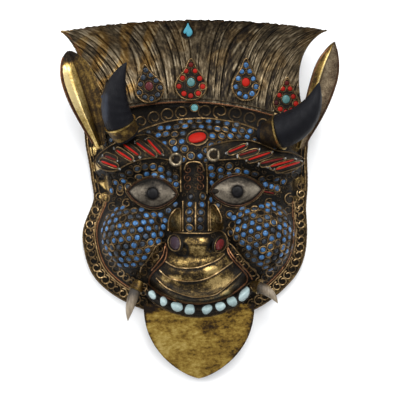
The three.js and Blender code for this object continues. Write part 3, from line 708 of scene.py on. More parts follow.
pale_stone = stone("pale_stone", [
    (0.12, 0.17, 0.17), (0.27, 0.36, 0.36), (0.42, 0.52, 0.53)], size=3, cloud=0.9)
garnet_stone = stone("garnet_stone", [
    (0.03, 0.026, 0.036), (0.045, 0.022, 0.026), (0.105, 0.012, 0.012)], size=3, shine=0.15)


def horn_material():
    paint = Paint("black_horn", Specular_IOR_Level=0.12)
    grain = paint.noise(6, 5, 0.6, (1, 0.35, 1))
    # The mark lightens the horn with a painted highlight.
    tone = paint.maths("ADD", paint.maths("MULTIPLY_ADD", grain, 0.5, -0.1), paint.mark("worn"), clamp=True)
    blacks = [(0.0, (0.0018, 0.0019, 0.003)), (0.4, (0.0055, 0.0055, 0.0078)), (1, (0.038, 0.045, 0.062))]
    paint.set(
        Base_Color=paint.ramp(tone, blacks),
        Roughness=paint.ramp(paint.noise(9, 4), [(0.3, 0.45), (0.7, 0.7)]),
    )
    return paint.bump(paint.noise(3, 5, 0.7, (1, 0.4, 1)), 0.6).material


def bone_material():
    paint = Paint("bone", Specular_IOR_Level=0.4)
    grain = paint.noise(4, 5, 0.65, (1, 0.3, 1))
    stain = paint.maths("ADD", paint.mark(), paint.maths("MULTIPLY_ADD", grain, 1.7, -0.75), clamp=True)
    yellows = [(0, (0.26, 0.21, 0.145)), (0.45, (0.12, 0.09, 0.058)), (1, (0.02, 0.014, 0.008))]
    paint.set(
        Base_Color=paint.ramp(stain, yellows),
        Roughness=paint.ramp(stain, [(0, 0.4), (1, 0.6)]),
    )
    return paint.bump(paint.noise(2, 5, 0.6, (1, 0.3, 1)), 0.2).material


def tin_material():
    paint = Paint("tin", Metallic=0.6, Specular_IOR_Level=0.25)
    cloud = paint.noise(7, 5, 0.7)
    fine = paint.noise(1.2, 4, 0.6)
    flecks = paint.maths("MULTIPLY_ADD", fine, 0.6, -0.22)
    tone = paint.maths("ADD", paint.maths("MULTIPLY", cloud, 0.85), flecks)
    # The mark darkens the tin with dirt and painted shade, and lightens it with a painted highlight.
    tone = paint.maths("SUBTRACT", tone, paint.mark("grime"), clamp=True)
    greys = [(0.1, (0.008, 0.007, 0.006)), (0.36, (0.06, 0.049, 0.037)), (0.75, (0.24, 0.205, 0.155))]
    paint.set(
        Base_Color=paint.ramp(tone, greys),
        Roughness=paint.ramp(cloud, [(0.3, 0.6), (0.7, 0.48)]),
    )
    return paint.bump(fine, 0.2).material


def black_material(name, size, blacks, roughness, grain, depth):
    """Near-black matter: the horn of a pupil, or the black floor of an inlay cell."""
    paint = Paint(name, Specular_IOR_Level=0.1)
    paint.set(
        Base_Color=paint.ramp(paint.noise(size), blacks),
        Roughness=paint.ramp(paint.noise(2), list(zip((0.3, 0.7), roughness))),
    )
    return paint.bump(paint.noise(grain), depth).material


def solder_material():
    paint = Paint("solder_grey", Metallic=0.5, Specular_IOR_Level=0.3)
    tone = paint.maths("ADD", paint.mark(), paint.noise(1.5, 4), clamp=True)
    paint.set(
        Base_Color=paint.ramp(tone, [(0.35, (0.05, 0.047, 0.042)), (0.8, (0.3, 0.29, 0.27))]),
        Roughness=paint.ramp(tone, [(0.3, 0.6), (0.7, 0.45)]),
    )
    return paint.bump(paint.noise(0.8), 0.1).material


black_horn, bone, tin, solder_grey = horn_material(), bone_material(), tin_material(), solder_material()
pupil_black = black_material(
    "pupil_black", 3, [(0.3, (0.003, 0.003, 0.003)), (0.7, (0.010, 0.009, 0.010))], (0.35, 0.5), 1.5, 0.1)
cell_black = black_material(
    "cell_black", 2, [(0.35, (0.004, 0.0035, 0.003)), (0.75, (0.022, 0.017, 0.012))], (0.6, 0.8), 1.0, 0.2)


# Heaps of small trim, filled while the main pieces are made
blue_stones, red_stones, stone_rings = Heap(), Heap(), Heap()
brass_wires, copper_wires = Heap(), Heap()
cells, solder = Heap(), Heap()

STONE = revolve([(1, -0.9), (1, 0.15), (0.84, 0.55), (0.45, 0.8)], 12)
STONE_SHADE = np.r_[np.repeat([0.3, 0.24, 0.02, 0], 12), 0.3, 0]  # its rim is darker than its crown
STONE_PITCH = 8.3
STONE_RADIUS = 2.75
RING_SHARE = 1.34  # a setting's radius over its stone's
ring_turn = np.arange(18) * TURN / 18
ring_line = np.column_stack([np.cos(ring_turn), np.sin(ring_turn), 0 * ring_turn])
RING = tube(ring_line, UP, 0.185, 5, True)
taken = []  # places and radii of what lies on the face, so that the filling scrolls keep clear of it


def placed(part, spot, frame_at, scale):
    points, faces = part
    return (points * scale) @ frame_at + spot, faces


def stone_tone(good):
    """Most stones are bright. Some are dull, and some are black with dirt or burnt."""
    bright, dull, dark = rng.normal(0.69, 0.08), rng.normal(0.33, 0.08), rng.normal(0.12, 0.06)
    kind = rng.choice(3, p=[good, (1 - good) * 0.5, (1 - good) * 0.5])
    return np.clip((bright, dull, dark)[kind], 0.02, 0.98)


def set_stones(places, surface, heap, radius=STONE_RADIUS, empty=0.06, good=0.62):
    """Round stones in wire rings. Some settings have lost their stone."""
    places = np.atleast_2d(places)
    x, y = places.T
    directions = frames(surface, x, y)
    spots = over(surface, x, y) + directions[:, 2] * 0.25
    for spot, at in zip(spots, directions):
        size = radius * rng.uniform(0.92, 1.06)
        tone = stone_tone(good)
        missing = rng.random() < empty
        ring_mark = np.clip(rng.normal(0.34, 0.13), 0.05, 0.8)
        stone_rings.add(placed(RING, spot, at, radius * RING_SHARE), ring_mark)
        if not missing:
            heap.add(placed(STONE, spot, at, np.array([size, size, 1])), np.clip(tone - STONE_SHADE, 0, 1))
        taken.append((spot[0], spot[1], radius * RING_SHARE))


def cell_floor(outline, surface=face_height, height=0.5, rings=5, depth=0.3):
    """The black floor of an inlay cell."""
    cells.add(plate(outline, surface, lambda s: height, depth, rings))


def share_out(path, count):
    """A count of places, evenly spaced along a path and with a hand's unevenness."""
    line = smooth_path(path, 0.3)
    spots = line[np.linspace(0, len(line) - 1, count).round().astype(int)]
    return spots + rng.normal(0, 0.22, spots.shape)


def wire(heap, path, radius=0.75, surface=face, lift=0.3, closed=False, mark=0.5, step=1.3, sides=6):
    line = smooth_path(path, step, closed)
    if closed:
        line = line[:-1]
    x, y = line.T
    out = frames(surface, x, y)[:, 2]
    points = over(surface, x, y) + out * lift
    uneven = 1 + 0.12 * np.sin(np.arange(len(points)) * 1.9)
    heap.add(tube(points, out, radius * uneven, sides, closed), mark)
    taken.extend((px, py, radius) for px, py in line[::2])


def curl(at, radius, start, hand=1, turns=1.2):
    """A scroll that winds in from its outer end, which lies in the direction start, in degrees."""
    t = np.linspace(0, 1, 14)
    a = np.radians(start) + hand * turns * TURN * t
    r = radius * (1 - 0.8 * t)
    return np.column_stack([at[0] + r * np.cos(a), at[1] + r * np.sin(a)])


# The face
AROUND = 540
FRONT_RINGS = 124
BACK_RINGS = 34
# Rings that lie closer together, towards the rim
FRONT_BORDER_RINGS = 34
BACK_BORDER_RINGS = 12
BACK_BARE = 0.42

# Patches of the face that are brighter or are blacker: centre, half-axes, how much
PATCHES = [
    (22, -81, 13, 5, 0.44), (15, -69, 8, 3.5, 0.36), (-27, -78, 12, 4, 0.42), (-36, -85, 6, 3, 0.4),
    (-3, -85, 7, 5, -0.1), (0, -58, 13, 3, 0.14), (-14, -72, 12, 3, -0.05), (30, -92, 8, 3, 0.34),
    (-12, -98, 14, 3, -0.16), (35, -68, 5, 4, -0.25), (5, -97, 12, 2.5, 0.2), (-42, -55, 4, 9, 0.4),
    (44, -58, 4, 8, 0.25), (-56, -74, 6, 4, 0.35), (-24, -15, 4, 8, 0.12), (22, -14, 4, 9, 0.14),
]


def bare_marks(x, y):
    """How bright the face's brass is (1) and how black its patina (0): wear, with painted shade on the lip
    and round the nose.
    """
    lip = smooth_step(0, 4, inside(x, y, LIP))
    bare = mix(0.14 + 0.1 * waviness(x, y, 26, 5), lip_wear_and_shade(x, y), lip)
    for px, py, rx, ry, by in PATCHES:
        bare = bare + by * np.exp(-(((x - px) / rx) ** 4) - ((y - py) / ry) ** 4)
    bare = bare + nose_wear_and_shade(x, y, lip) + border_wear(x, y)
    band = smooth_step(80, 86, y)
    return np.clip(mix(bare, 0.12 + 0.1 * waviness(x, y, 14, 17), band), 0, 1)


def lip_wear_and_shade(x, y):
    """The rolls of the upper lip are rubbed bright, less so towards their ends, and painted shade darkens
    each roll just under the wire above it.
    """
    lines = [np.polyval(fit, x) for fit in LIP_FITS]
    ends = smooth_step(44, 24, np.abs(x - 5))
    below = np.min([np.where(y < line, line - y, 99) for line in lines], axis=0)
    # rolls stays low just under each line: painted shade below its wire
    rolls = smooth_step(0.8, 4.0, below) * (0.12 + 0.88 * ends) * (0.82 + 0.3 * waviness(x, y, 16, 15))
    return 0.16 + 0.5 * rolls


def nose_wear_and_shade(x, y, lip):
    """The nose's bulb and side panels are barer; painted shade darkens the crease under the bulb, a line
    under the wire over it, and the nostril pits with their patina.
    """
    bulb = smooth_step(-1, 3, inside(x, y, BULB)) * (0.8 + 0.35 * waviness(x, y, 9, 16))
    under = bell(y - 0.012 * x * x, -52, 4) * smooth_step(22, 14, np.abs(x))
    # crease: a painted shadow under the bulb, along the top of the lip
    crease = bell(y - 0.01 * x * x, -56.5, 1.6) * lip
    wear = 0.5 * bulb * smooth_step(-53, -41, y) + 0.2 * under - 0.25 * crease
    # the nostril pits: black patina and painted shade
    for pit in PITS:
        wear = wear - 0.6 * smooth_step(-2.5, 1, inside(x, y, pit))
    # a painted shadow just under the wire over the bulb
    wear = wear - 0.3 * bell(y, -35.5, 1.2) * smooth_step(15, 11, np.abs(x + 2))
    for panel in NOSE_PANELS:
        wear = wear + 0.52 * smooth_step(-1, 3, inside(x, y, panel))
    return wear


def border_wear(x, y):
    """The flange is barer at its edge, and gilding is left on it beside the eyes and eyebrows."""
    share = share_of(x, y)
    wear = 0.22 * smooth_step(0.96, 0.99, share) + 0.08 * smooth_step(0.86, 0.9, share)
    strip = smooth_step(0.8, 0.86, share) * smooth_step(-4, 6, y) * smooth_step(70, 56, y)
    gilt = smooth_step(-0.1, 0.12, waviness(x, y, 15, 8)) * smooth_step(0.985, 0.97, share)
    return wear + np.where(x < 0, 0.85, 0.45) * strip * gilt - 0.12 * strip


def face_piece():
    middle = np.linspace(0.008, 0.8, FRONT_RINGS - FRONT_BORDER_RINGS)
    shares = np.r_[middle, np.linspace(0.806, 1, FRONT_BORDER_RINGS)]
    middle = np.linspace(0.02, 0.8, BACK_RINGS - BACK_BORDER_RINGS)
    back_shares = np.r_[middle, np.linspace(0.82, 0.992, BACK_BORDER_RINGS)]
    angles = np.arange(AROUND) * 360 / AROUND

    def ring(share, height, inset=0.0):
        x, y = at_share(share, angles).T
        if inset:
            r = 1 - inset / np.hypot(x - FACE_CENTRE[0], y - FACE_CENTRE[1])
            x, y = FACE_CENTRE[0] + (x - FACE_CENTRE[0]) * r, FACE_CENTRE[1] + (y - FACE_CENTRE[1]) * r
        return over(height, x, y)

    def inner(x, y):
        gx, gy = slopes(face_height, x, y, 0.5)
        steep = np.minimum(np.sqrt(1 + gx**2 + gy**2), STEEPEST)
        return face_height(x, y) - 0.9 - WALL * steep + 0.3 * waviness(x, y, 12, 4)

    rings = [ring(s, inner) for s in back_shares]
    rings.append(ring(1, lambda x, y: np.full_like(x, RIM_HEIGHT - WALL), WALL))
    rings.append(ring(1, lambda x, y: 0 * x, WALL))
    rings.append(ring(1, lambda x, y: 0 * x))
    rings += [ring(s, face) for s in shares[::-1]]
    part = skin(rings)
    x, y = part[0][:, :2].T
    behind = np.zeros(len(x), bool)
    behind[: (BACK_RINGS + 2) * AROUND] = True
    behind[-2] = True  # the point that closes the innermost ring of the back
    bare = np.where(behind, BACK_BARE, bare_marks(x, y))
    piece("face", part, patina, "dark_brass", ["face_shell"], bare=bare)


# Stones on the face: fields on the cheeks, rows elsewhere
# Fields of the cheeks: centre, tilt of the rows, share of bright stones, outline
CHEEK_FIELDS = [
    ((-59, -37), 8, 0.6, [
        (-95, -22), (-89, -9), (-70, -6), (-50, -9), (-34, -13), (-30, -26), (-33, -40), (-46, -54),
        (-56, -68), (-75, -69), (-89, -56), (-96, -40)]),
    ((60, -36), 22, 0.46, [
        (96, -18), (86, -1), (62, -7), (40, -8), (31, -16), (32, -34), (42, -47), (57, -62), (72, -71),
        (86, -62), (96, -45)]),
]
CHEEK_BALL = 41
# Rows of stones: how many, and the line that they follow
STONE_ROWS = [
    (7, [(-16, 77.6), (12, 78.6), (39, 74.7)]),
    (12, [(-36.5, 71.6), (-4, 73.4), (20.3, 70.8), (53, 68.4)]),
    (4, [(-38.6, 64.6), (-13.9, 65.8)]),
    (5, [(15.4, 63.7), (31.5, 63.5), (50, 62.8)]),
    (3, [(-32.8, 56.4), (-15.3, 57.8)]),
    (2, [(14.5, 54.6), (22.3, 55.8)]),
    (2, [(-22, 51), (-13, 50.6)]),
    (2, [(-6.4, 43.5), (3.4, 43.5)]),
    (7, [(-67, 27.6), (-53.6, 32.6), (-45, 33.6), (-37.4, 31), (-21.2, 22.4)]),
    (9, [(-81, 17.6), (-66, 20.3), (-52, 25), (-44.9, 25.2), (-28.7, 20.6), (-20.6, 15.6)]),
    (3, [(13.7, 31.5), (23.7, 29.8), (32, 33.2)]),
    (7, [(15, 24.5), (22, 22.8), (37.8, 27.8), (46.1, 29.1), (59.7, 25.3), (65, 21.2)]),
    (3, [(72.2, 22.8), (86, 18.6)]),
    (3, [(68, 15.6), (80, 12)]),
    (5, [(-5.9, 3.4), (-7.5, -12), (-7.5, -27.5)]),
    (5, [(5.3, 3.4), (4, -12), (3.2, -27.5)]),
]
SINGLE_STONES = [
    (-85.5, 9.5), (-76.5, 12), (-68.5, 13.2), (-21.2, -4.5), (-28.3, -10.6), (14.4, 17), (13.3, 0.4),
    (20.6, -5.5), (9, 49), (95.8, 30.3), (-74, 24.6),
]


def cheek_stones():
    for centre, tilt, good, field in CHEEK_FIELDS:
        k = np.arange(-7, 8)
        a, b = (v.ravel() for v in np.meshgrid(k, k))
        u, v = STONE_PITCH * (a + b / 2), STONE_PITCH * b * math.sqrt(3) / 2
        far = np.hypot(u, v)
        direction = np.arctan2(v, u) + math.radians(tilt)
        far = np.clip(far, 0, CHEEK_BALL * 1.25)
        reach = CHEEK_BALL * np.sin(far / CHEEK_BALL)
        x, y = centre[0] + reach * np.cos(direction), centre[1] + reach * np.sin(direction)
        kept = (far < CHEEK_BALL * 1.08) & (inside(x, y, np.array(field, float)) > 0)
        set_stones(np.column_stack([x, y])[kept], face, blue_stones, good=good)


def row_stones():
    for count, path in STONE_ROWS:
        set_stones(share_out(path, count), face, blue_stones, good=0.5)
    set_stones(SINGLE_STONES, face, blue_stones, empty=0, good=0.5)


# Scrolls and wires on the face
def hook(at, radius, start, hand=1):
    """An open ring whose inner end curls in, as the running scrolls of the border have."""
    t = np.linspace(0, 1, 16)
    a = np.radians(start) + hand * 1.1 * TURN * t
    r = radius * (1 - 0.58 * smooth_step(0.4, 1, t))
    return np.column_stack([at[0] + r * np.cos(a), at[1] + r * np.sin(a)])


# Runs of scrolls: how far out, where they start and end in degrees, radius, hand
SCROLL_RUNS = [
    (0.94, 173, 244, 4.4, 1), (0.94, 12, -64, 4.4, -1), (0.81, 205, 240, 4, 1), (0.81, -25, -58, 4, -1),
]


def rim_scrolls():
    """Running scrolls on the flange, and a shorter row inside the double wire under each cheek."""
    for share, start, end, radius, hand in SCROLL_RUNS:
        line = even(at_share(share, np.linspace(start, end, 60)), 1.72 * radius)
        heading = np.degrees(np.arctan2(*(line[1:] - line[:-1]).T[::-1]))
        for at, direction in zip(line[:-1], heading):
            scroll = hook(at, radius * rng.uniform(0.9, 1.08), direction + 120 * hand, -hand)
            wire(brass_wires, scroll, 0.68, mark=rng.uniform(0.4, 0.8))


def polar_wires():
    for start, end in ((176, 236), (4, -50)):
        for share, heap, radius in ((0.868, copper_wires, 0.85), (0.89, brass_wires, 0.8)):
            wire(heap, at_share(share, np.linspace(start, end, 24)), radius, mark=0.65)
    for start, end in ((146, 171), (36, 9)):
        wire(brass_wires, at_share(0.975, np.linspace(start, end, 12)), 0.9, mark=0.6)
        wire(brass_wires, at_share(0.94, np.linspace(start, end, 12)), 0.6, mark=0.45)
    wire(brass_wires, at_share(0.992, np.arange(0, 360, 5)), 0.8, closed=True, mark=0.4)


NOSE_WIRES = [
    [(-13.5, -1), (-13.6, -16), (-13.4, -31)],
    [(-1.3, -2), (-1.3, -16), (-1.3, -30)],
    [(11, -1), (10.8, -16), (11, -31)],
    [(-16.2, 36), (-16, 22), (-15.5, 8)],
    [(9.5, 36), (9.8, 22), (9.5, 6)],
    [(-12.5, 30), (-10, 36), (-3, 38), (4, 36), (7, 29)],
    [(-23, -32.5), (-12, -32.8), (0, -33.3), (12.5, -33), (20, -30.5), (26, -32.8), (29.5, -38.5),
     (30.5, -46)],
    [(13, -31), (12.7, -14), (13.5, -6), (17.5, -5), (21, -10), (24, -18), (23, -23), (19.5, -22),
     (18, -19)],
    [(-29, -31), (-27.5, -19), (-22.5, -11), (-18, -8.5), (-16, -12), (-16, -31)],
]
PANEL_WIRES = [
    [(-32, -42), (-37, -43), (-41.5, -46.5), (-45.5, -54), (-50, -60.5), (-55, -66), (-56.5, -71)],
    [(31, -42.5), (36, -46), (41, -52), (46, -58), (52, -65), (58, -71), (62, -77)],
    [(-31.5, -46), (-33.5, -55), (-39, -63), (-45, -70)],
    [(28.7, -44), (34, -54), (42, -63), (50, -71), (55, -79)],
]
PANEL_CURLS = [
    (-36.5, -48, 3.6, 60, 1), (-40.5, -56, 4.2, 60, 1), (-46.5, -63.5, 4.2, 60, 1), (-52.5, -71, 4, 60, 1),
    (35.5, -51, 3.4, 120, -1), (41, -58, 4, 120, -1), (47.5, -65, 4.2, 120, -1), (55, -72, 4.2, 120, -1),
]
NOSE_CURLS = [(x, y, 4.2, 90, hand) for y in (30, 21.5, 13) for x, hand in ((-8.6, 1), (2.6, -1))]
BAND_RINGS = [
    (-56, 77.5, 5.5), (-43, 82, 6), (-29.5, 84.6, 6.4), (-15.5, 87, 6), (8, 88, 6.6), (23, 88, 6.8),
    (38.5, 85.5, 6.6), (53, 81, 6), (66, 75.5, 5.4),
]
SIDE_CURLS = [
    (93, 1.5, 5.4, 80, 1), (103.2, 12, 3.8, 0, 1), (100, -7, 5, 60, 1), (91, -9.5, 4.6, 100, -1),
    (-92, 2, 4.6, 100, -1), (-97, -4, 4.4, 100, -1), (-84, -7, 4.4, 60, 1), (-76, 8.5, 4, 60, 1),
    (98, 26, 4, 100, 1), (-96, 22, 4, 80, -1), (72, -2.5, 4, 60, 1), (-70, -3, 4, 60, 1),
    (-66, -82, 4, 60, 1), (-53, -92, 4.4, 20, 1), (64, -92, 4.4, 60, -1), (72, -78, 4, 60, -1),
]


def face_wires():
    for path in NOSE_WIRES:
        wire(brass_wires, path, 0.8, mark=0.6)
    for path, heap in zip(PANEL_WIRES, (brass_wires, brass_wires, copper_wires, copper_wires)):
        wire(heap, path, 0.75, mark=0.6)
    for x, y, radius, start, hand in PANEL_CURLS + SIDE_CURLS:
        wire(brass_wires, hook((x, y), radius, start, hand), 0.6, mark=rng.uniform(0.25, 0.65))
    for x, y, radius, start, hand in NOSE_CURLS:
        wire(copper_wires, curl((x, y), radius, start, hand, 1.3), 0.55, mark=rng.uniform(0.2, 0.45))
    for x, y, radius in BAND_RINGS:
        wire(brass_wires, hook((x, y), radius, 250, -1), 0.85, mark=rng.uniform(0.25, 0.45))
    for line in LIP_LINES:
        wire(brass_wires, line, 0.7, mark=0.75, lift=0.1)
    wire(copper_wires, LIP[::3], 0.9, mark=0.5)
    arch = [(-62, 66), (-50, 72), (-25, 79), (8, 81.3), (38, 77.5), (58, 71), (68, 65)]
    wire(brass_wires, arch, 1.0, mark=0.45)
    gum = np.linspace(-50, 54, 20)
    for drop in (7.6, -7.2):
        wire(brass_wires, np.column_stack([gum, gum_line(gum) + drop]), 0.8, mark=0.35)
    rim_scrolls()
    polar_wires()


FILL_STEP = 4.6
FILL_STONE = 2.2  # greatest radius of a filling stone


def fill_scrolls():
    """Small dark scrolls where the face is free, and small stones where the forehead has more room."""
    outlines = [LIP, *NOSE_PANELS, np.array(BULB), *(almond(eye, 4) for eye in EYES.values())]
    outlines += [np.array(brow["outline"]) for brow in BROWS.values()]
    k = np.arange(-24, 25)
    i, j = (v.ravel() for v in np.meshgrid(k, k))
    spots = np.column_stack([FILL_STEP * (i + j % 2 / 2), FILL_STEP * j * 0.87])
    spots = spots + rng.normal(0, 0.5, spots.shape)
    x, y = spots.T
    free = (share_of(x, y) < 0.83) & (y < 70) & (y > -90)
    for outline in outlines:
        free &= inside(x, y, outline) < -1.5
    for spot in spots[free]:
        others = np.array(taken)
        gap = np.min(np.hypot(others[:, 0] - spot[0], others[:, 1] - spot[1]) - others[:, 2])
        if gap > 2.3 and spot[1] > 38:
            set_stones([spot], face, blue_stones, min(gap / 1.4, FILL_STONE), empty=0, good=0.3)
        elif gap > 1.3:
            radius = min(gap - 0.2, 2.5)
            scroll = curl(spot, radius, rng.uniform(0, 360), rng.choice([-1, 1]), 1.1)
            wire(brass_wires, scroll, 0.42, mark=rng.uniform(0.05, 0.38), step=1.0, sides=5)


# Eyes and eyebrows
EYE_GRIME = {"left": 0.07, "right": 0}  # how much dirtier one eye is than the other
DULL_BARS = {("left", 5), ("right", 2), ("right", 4)}


def almond(eye, grow=0.0, points=40):
    at, rx, ry, lean, _ = eye
    t = np.cos(np.arange(points) * TURN / points)
    half = (ry + grow) * (1 - np.abs(t) ** 1.9) ** 0.9
    up = np.where(np.arange(points) < points / 2, 1, -1)
    return turned(np.column_stack([t * (rx + grow), up * half]), at, lean)


def eye_pieces():
    for side, eye in EYES.items():
        centre, gaze = eye[0], eye[4]
        at = np.add(centre, gaze)
        outline = almond(eye)
        part = plate(outline, face_height, dome(1.4, 0.8, 2.5), depth=0.2, rings=14)
        x, y = part[0][:, :2].T
        # dirt (EYE_GRIME), and painted shade near the plate's edge
        grime = EYE_GRIME[side] + 0.34 * smooth_step(1.6, 0, inside(x, y, outline))
        # painted shade under the upper lid, towards the top
        grime = grime + 0.3 * smooth_step(2, 12, y - centre[1])
        # a painted highlight towards both corners
        grime = grime - 0.14 * smooth_step(10, 22, np.abs(x - centre[0]))
        # painted shade round the raised pupil
        grime = grime + 0.4 * smooth_step(PUPIL + 1.6, PUPIL, np.hypot(x - at[0], y - at[1]))
        piece("eye_sheet_" + side, part, tin, "tin", ["eye_" + side], grime=grime)
        lens = dome(PUPIL_RISE - 0.4, 1.9, 4)
        disc = plate(oval(PUPIL, PUPIL, at, sides=36), face_height, lens, depth=-1, rings=10)
        piece("pupil_disc_" + side, disc, pupil_black, "black_horn", ["pupil_" + side])
        groove = oval(PUPIL - 1, PUPIL - 1, at, sides=24)
        wire(brass_wires, groove, 0.3, face_height, 3.1, closed=True, mark=0.05, step=0.9)
        cell_floor(almond(eye, 2.2), height=0.55)
        wire(copper_wires, almond(eye, 1.3), 0.5, face_height, 1.3, closed=True, mark=0.28)
        wire(brass_wires, almond(eye, 3.4), 0.6, face_height, 0.8, closed=True, mark=0.34)


def brow_top(x, y):
    return face_height(x, y) + SEAM + BROW_PLATE


def brow_pieces():
    for side, brow in BROWS.items():
        outline = smooth_path(brow["outline"], 1.6, True)[:-1]
        part = plate(outline, face_height, dome(1.1, 1.8, 8), depth=-0.1, rings=16)
        x, y = part[0][:, :2].T
        bare = 0.22 + 0.12 * waviness(x, y, 18, 6)
        piece("brow_plate_" + side, part, patina, "dark_brass", ["brow_" + side], bare=bare)
        wire(brass_wires, outline[::3], 0.8, face_height, 1.9, closed=True, mark=0.4)
        for number, bar in enumerate(brow["bars"], 1):
            brow_bar(side, number, bar)
        brow_ring(side, brow["ring"])


def brow_bar(side, number, bar):
    """A coral bar in a longer cell of wire, part of which is empty."""
    a, b = np.array(bar[:2]), np.array(bar[2:])
    along = unit(b - a)
    across = np.array([-along[1], along[0]])
    x, y = even(np.array([a, b]), 1.2).T
    spots = over(brow_top, x, y, 0.7 + BAR_RISE * 0.3)
    out = frames(brow_top, x, y)[:, 2]
    ends = np.linspace(0, 1, len(x))
    width = BAR_HALF * 0.7 * (1 - np.abs(2 * ends - 1) ** 6 * 0.5) * (1 + 0.08 * np.sin(9 * ends + number))
    part = tube(spots, out, width, 8)
    tone = 0.34 if (side, number) in DULL_BARS else rng.uniform(0.62, 0.85)
    name = f"brow_coral_{side}_{number}"
    piece(name, part, coral_stone, "coral", [f"brow_bar_{side}_{number}"], mark=tone)
    side_sign = 1 if side == "left" else -1
    middle = (a + b) / 2 + side_sign * across * 1.1
    long, wide = np.linalg.norm(b - a) / 2 + 1.6, 3.1
    lean = math.degrees(math.atan2(along[1], along[0]))
    cell = oval(long, wide, middle, lean, 28, square=0.6)
    cell_floor(cell, brow_top, 0.4, 4)
    wire(brass_wires, cell, 0.5, brow_top, 0.6, closed=True, mark=rng.uniform(0.35, 0.65))
    for end in (a - along * 2.6, b + along * 2.4):
        for spot in end + rng.normal(0, 0.9, (4 if side == "right" else 2, 2)):
            long, wide, lean = rng.uniform(0.6, 1.3), rng.uniform(0.5, 0.9), rng.uniform(0, 180)
            blob = oval(long, wide, spot, lean, 10, uneven=0.12)
            solder.add(plate(blob, brow_top, dome(0.5, 0.4, 2), depth=0.3, rings=4), rng.uniform(0, 0.25))


def brow_ring(side, at):
    turn = np.arange(36) * TURN / 36
    x, y = at[0] + RING_RADIUS * np.cos(turn), at[1] + RING_RADIUS * np.sin(turn)
    level = float(brow_top(*np.array(at, float)))
    line = np.column_stack([x, y, np.full(36, level - 0.6)])
    part = tube(line, UP, RING_TUBE, 12, True)
    name = "brow_boss_" + side
    bare = 0.62 + 0.2 * np.sin(np.arctan2(part[0][:, 1] - at[1], part[0][:, 0] - at[0]) + 4)
    piece(name, part, hair_metal, "hair_brass", ["brow_ring_" + side], bare=bare)
    cell_floor(oval(RING_RADIUS, RING_RADIUS, at, sides=24), height=1.6, rings=4, depth=0.2)


# Single stones
SIDE_BAR = [(66.5, 8.6), (76.5, 6.6)]  # a sliver of coral beside the right eye
# Nostril stones: how much of their size is left, tone, and how bare their ring is
NOSTRIL_LOOKS = {"left": (0.95, 0.25, 0.75), "right": (0.8, 0.95, 0.5)}


def bezel(at, rx, ry, lean, surface, lift, mark=0.5, radius=0.8):
    wire(brass_wires, oval(rx, ry, at, lean, 24), radius, surface, lift, closed=True, mark=mark)


def face_stones():
    at, rx, ry, rise, lean = CORAL
    outline = oval(rx, ry, at, lean, square=0.85)
    part = plate(outline, face_height, dome(rise - 0.6, 0.5, 2.6), depth=0.1, rings=12)
    piece("forehead_stone", part, coral_stone, "coral", ["forehead_coral"], mark=0.78)
    bezel(at, rx + 2, ry + 2, lean, face, 0.5, 0.4)
    wire(brass_wires, [(-5.5, 55.8), (0.5, 53.9), (7, 56), (10.5, 60)], 0.6, mark=0.85, lift=0.8)
    x, y = even(np.array(SIDE_BAR, float), 1).T
    red_stones.add(tube(over(face, x, y, 0.5), UP, 0.8), 0.3)
    wire(brass_wires, oval(7.2, 2.4, np.mean(SIDE_BAR, 0), -10), 0.45, mark=0.35, closed=True)
    cell_floor(oval(rx + 1.8, ry + 1.8, at, lean))
    for side, (at, rx, ry, rise, lean) in NOSTRILS.items():
        shrink, tone, ring_mark = NOSTRIL_LOOKS[side]
        outline = oval(shrink * rx, shrink * ry, at, lean)
        part = plate(outline, face_height, dome(rise - 0.8, 0.6, 3), depth=0.1, rings=12)
        piece("nostril_stone_" + side, part, garnet_stone, "garnet", ["nostril_" + side], mark=tone)
        bezel(at, rx + 0.6, ry + 0.6, lean, face_height, 1.1, ring_mark, 0.55)
        cell_floor(oval(rx + 2.6, ry + 2.4, at, lean))
    at, rx, ry, rise, lean = BAND_STONE
    part = plate(oval(rx, ry, at), face_height, dome(rise - 0.4, 0.4, 3), depth=0.1, rings=10)
    piece("band_stone", part, turquoise_stone, "turquoise", ["band_turquoise"], mark=0.6)
    bezel(at, rx + 0.8, ry + 0.8, 0, face_height, 0.5, 0.4)


def tooth_pieces():
    for number, (x, rx, ry, lean) in enumerate(TEETH, 1):
        at = (x, float(gum_line(x)))
        outline = oval(rx, ry, at, lean, uneven=0.05, square=0.85)
        part = plate(outline, face_height, dome(TOOTH_RISE - 0.8, 0.5, 2.6), depth=0.1, rings=12)
        name, node, tone = f"tooth_stone_{number}", f"tooth_{number}", rng.uniform(0.4, 0.8)
        piece(name, part, pale_stone, "pale_stone", [node], mark=tone)
        cell_floor(oval(rx + 1.5, ry + 1.6, at, lean), height=0.4)


# Hair
LOCKS = 29
HAIR_COLUMNS = 470
HAIR_ROWS = 100
GROOVE = 0.9
lock_tones = rng.normal(0, 0.08, LOCKS + 8)
lock_depths = rng.uniform(0.45, 1.15, LOCKS + 8)


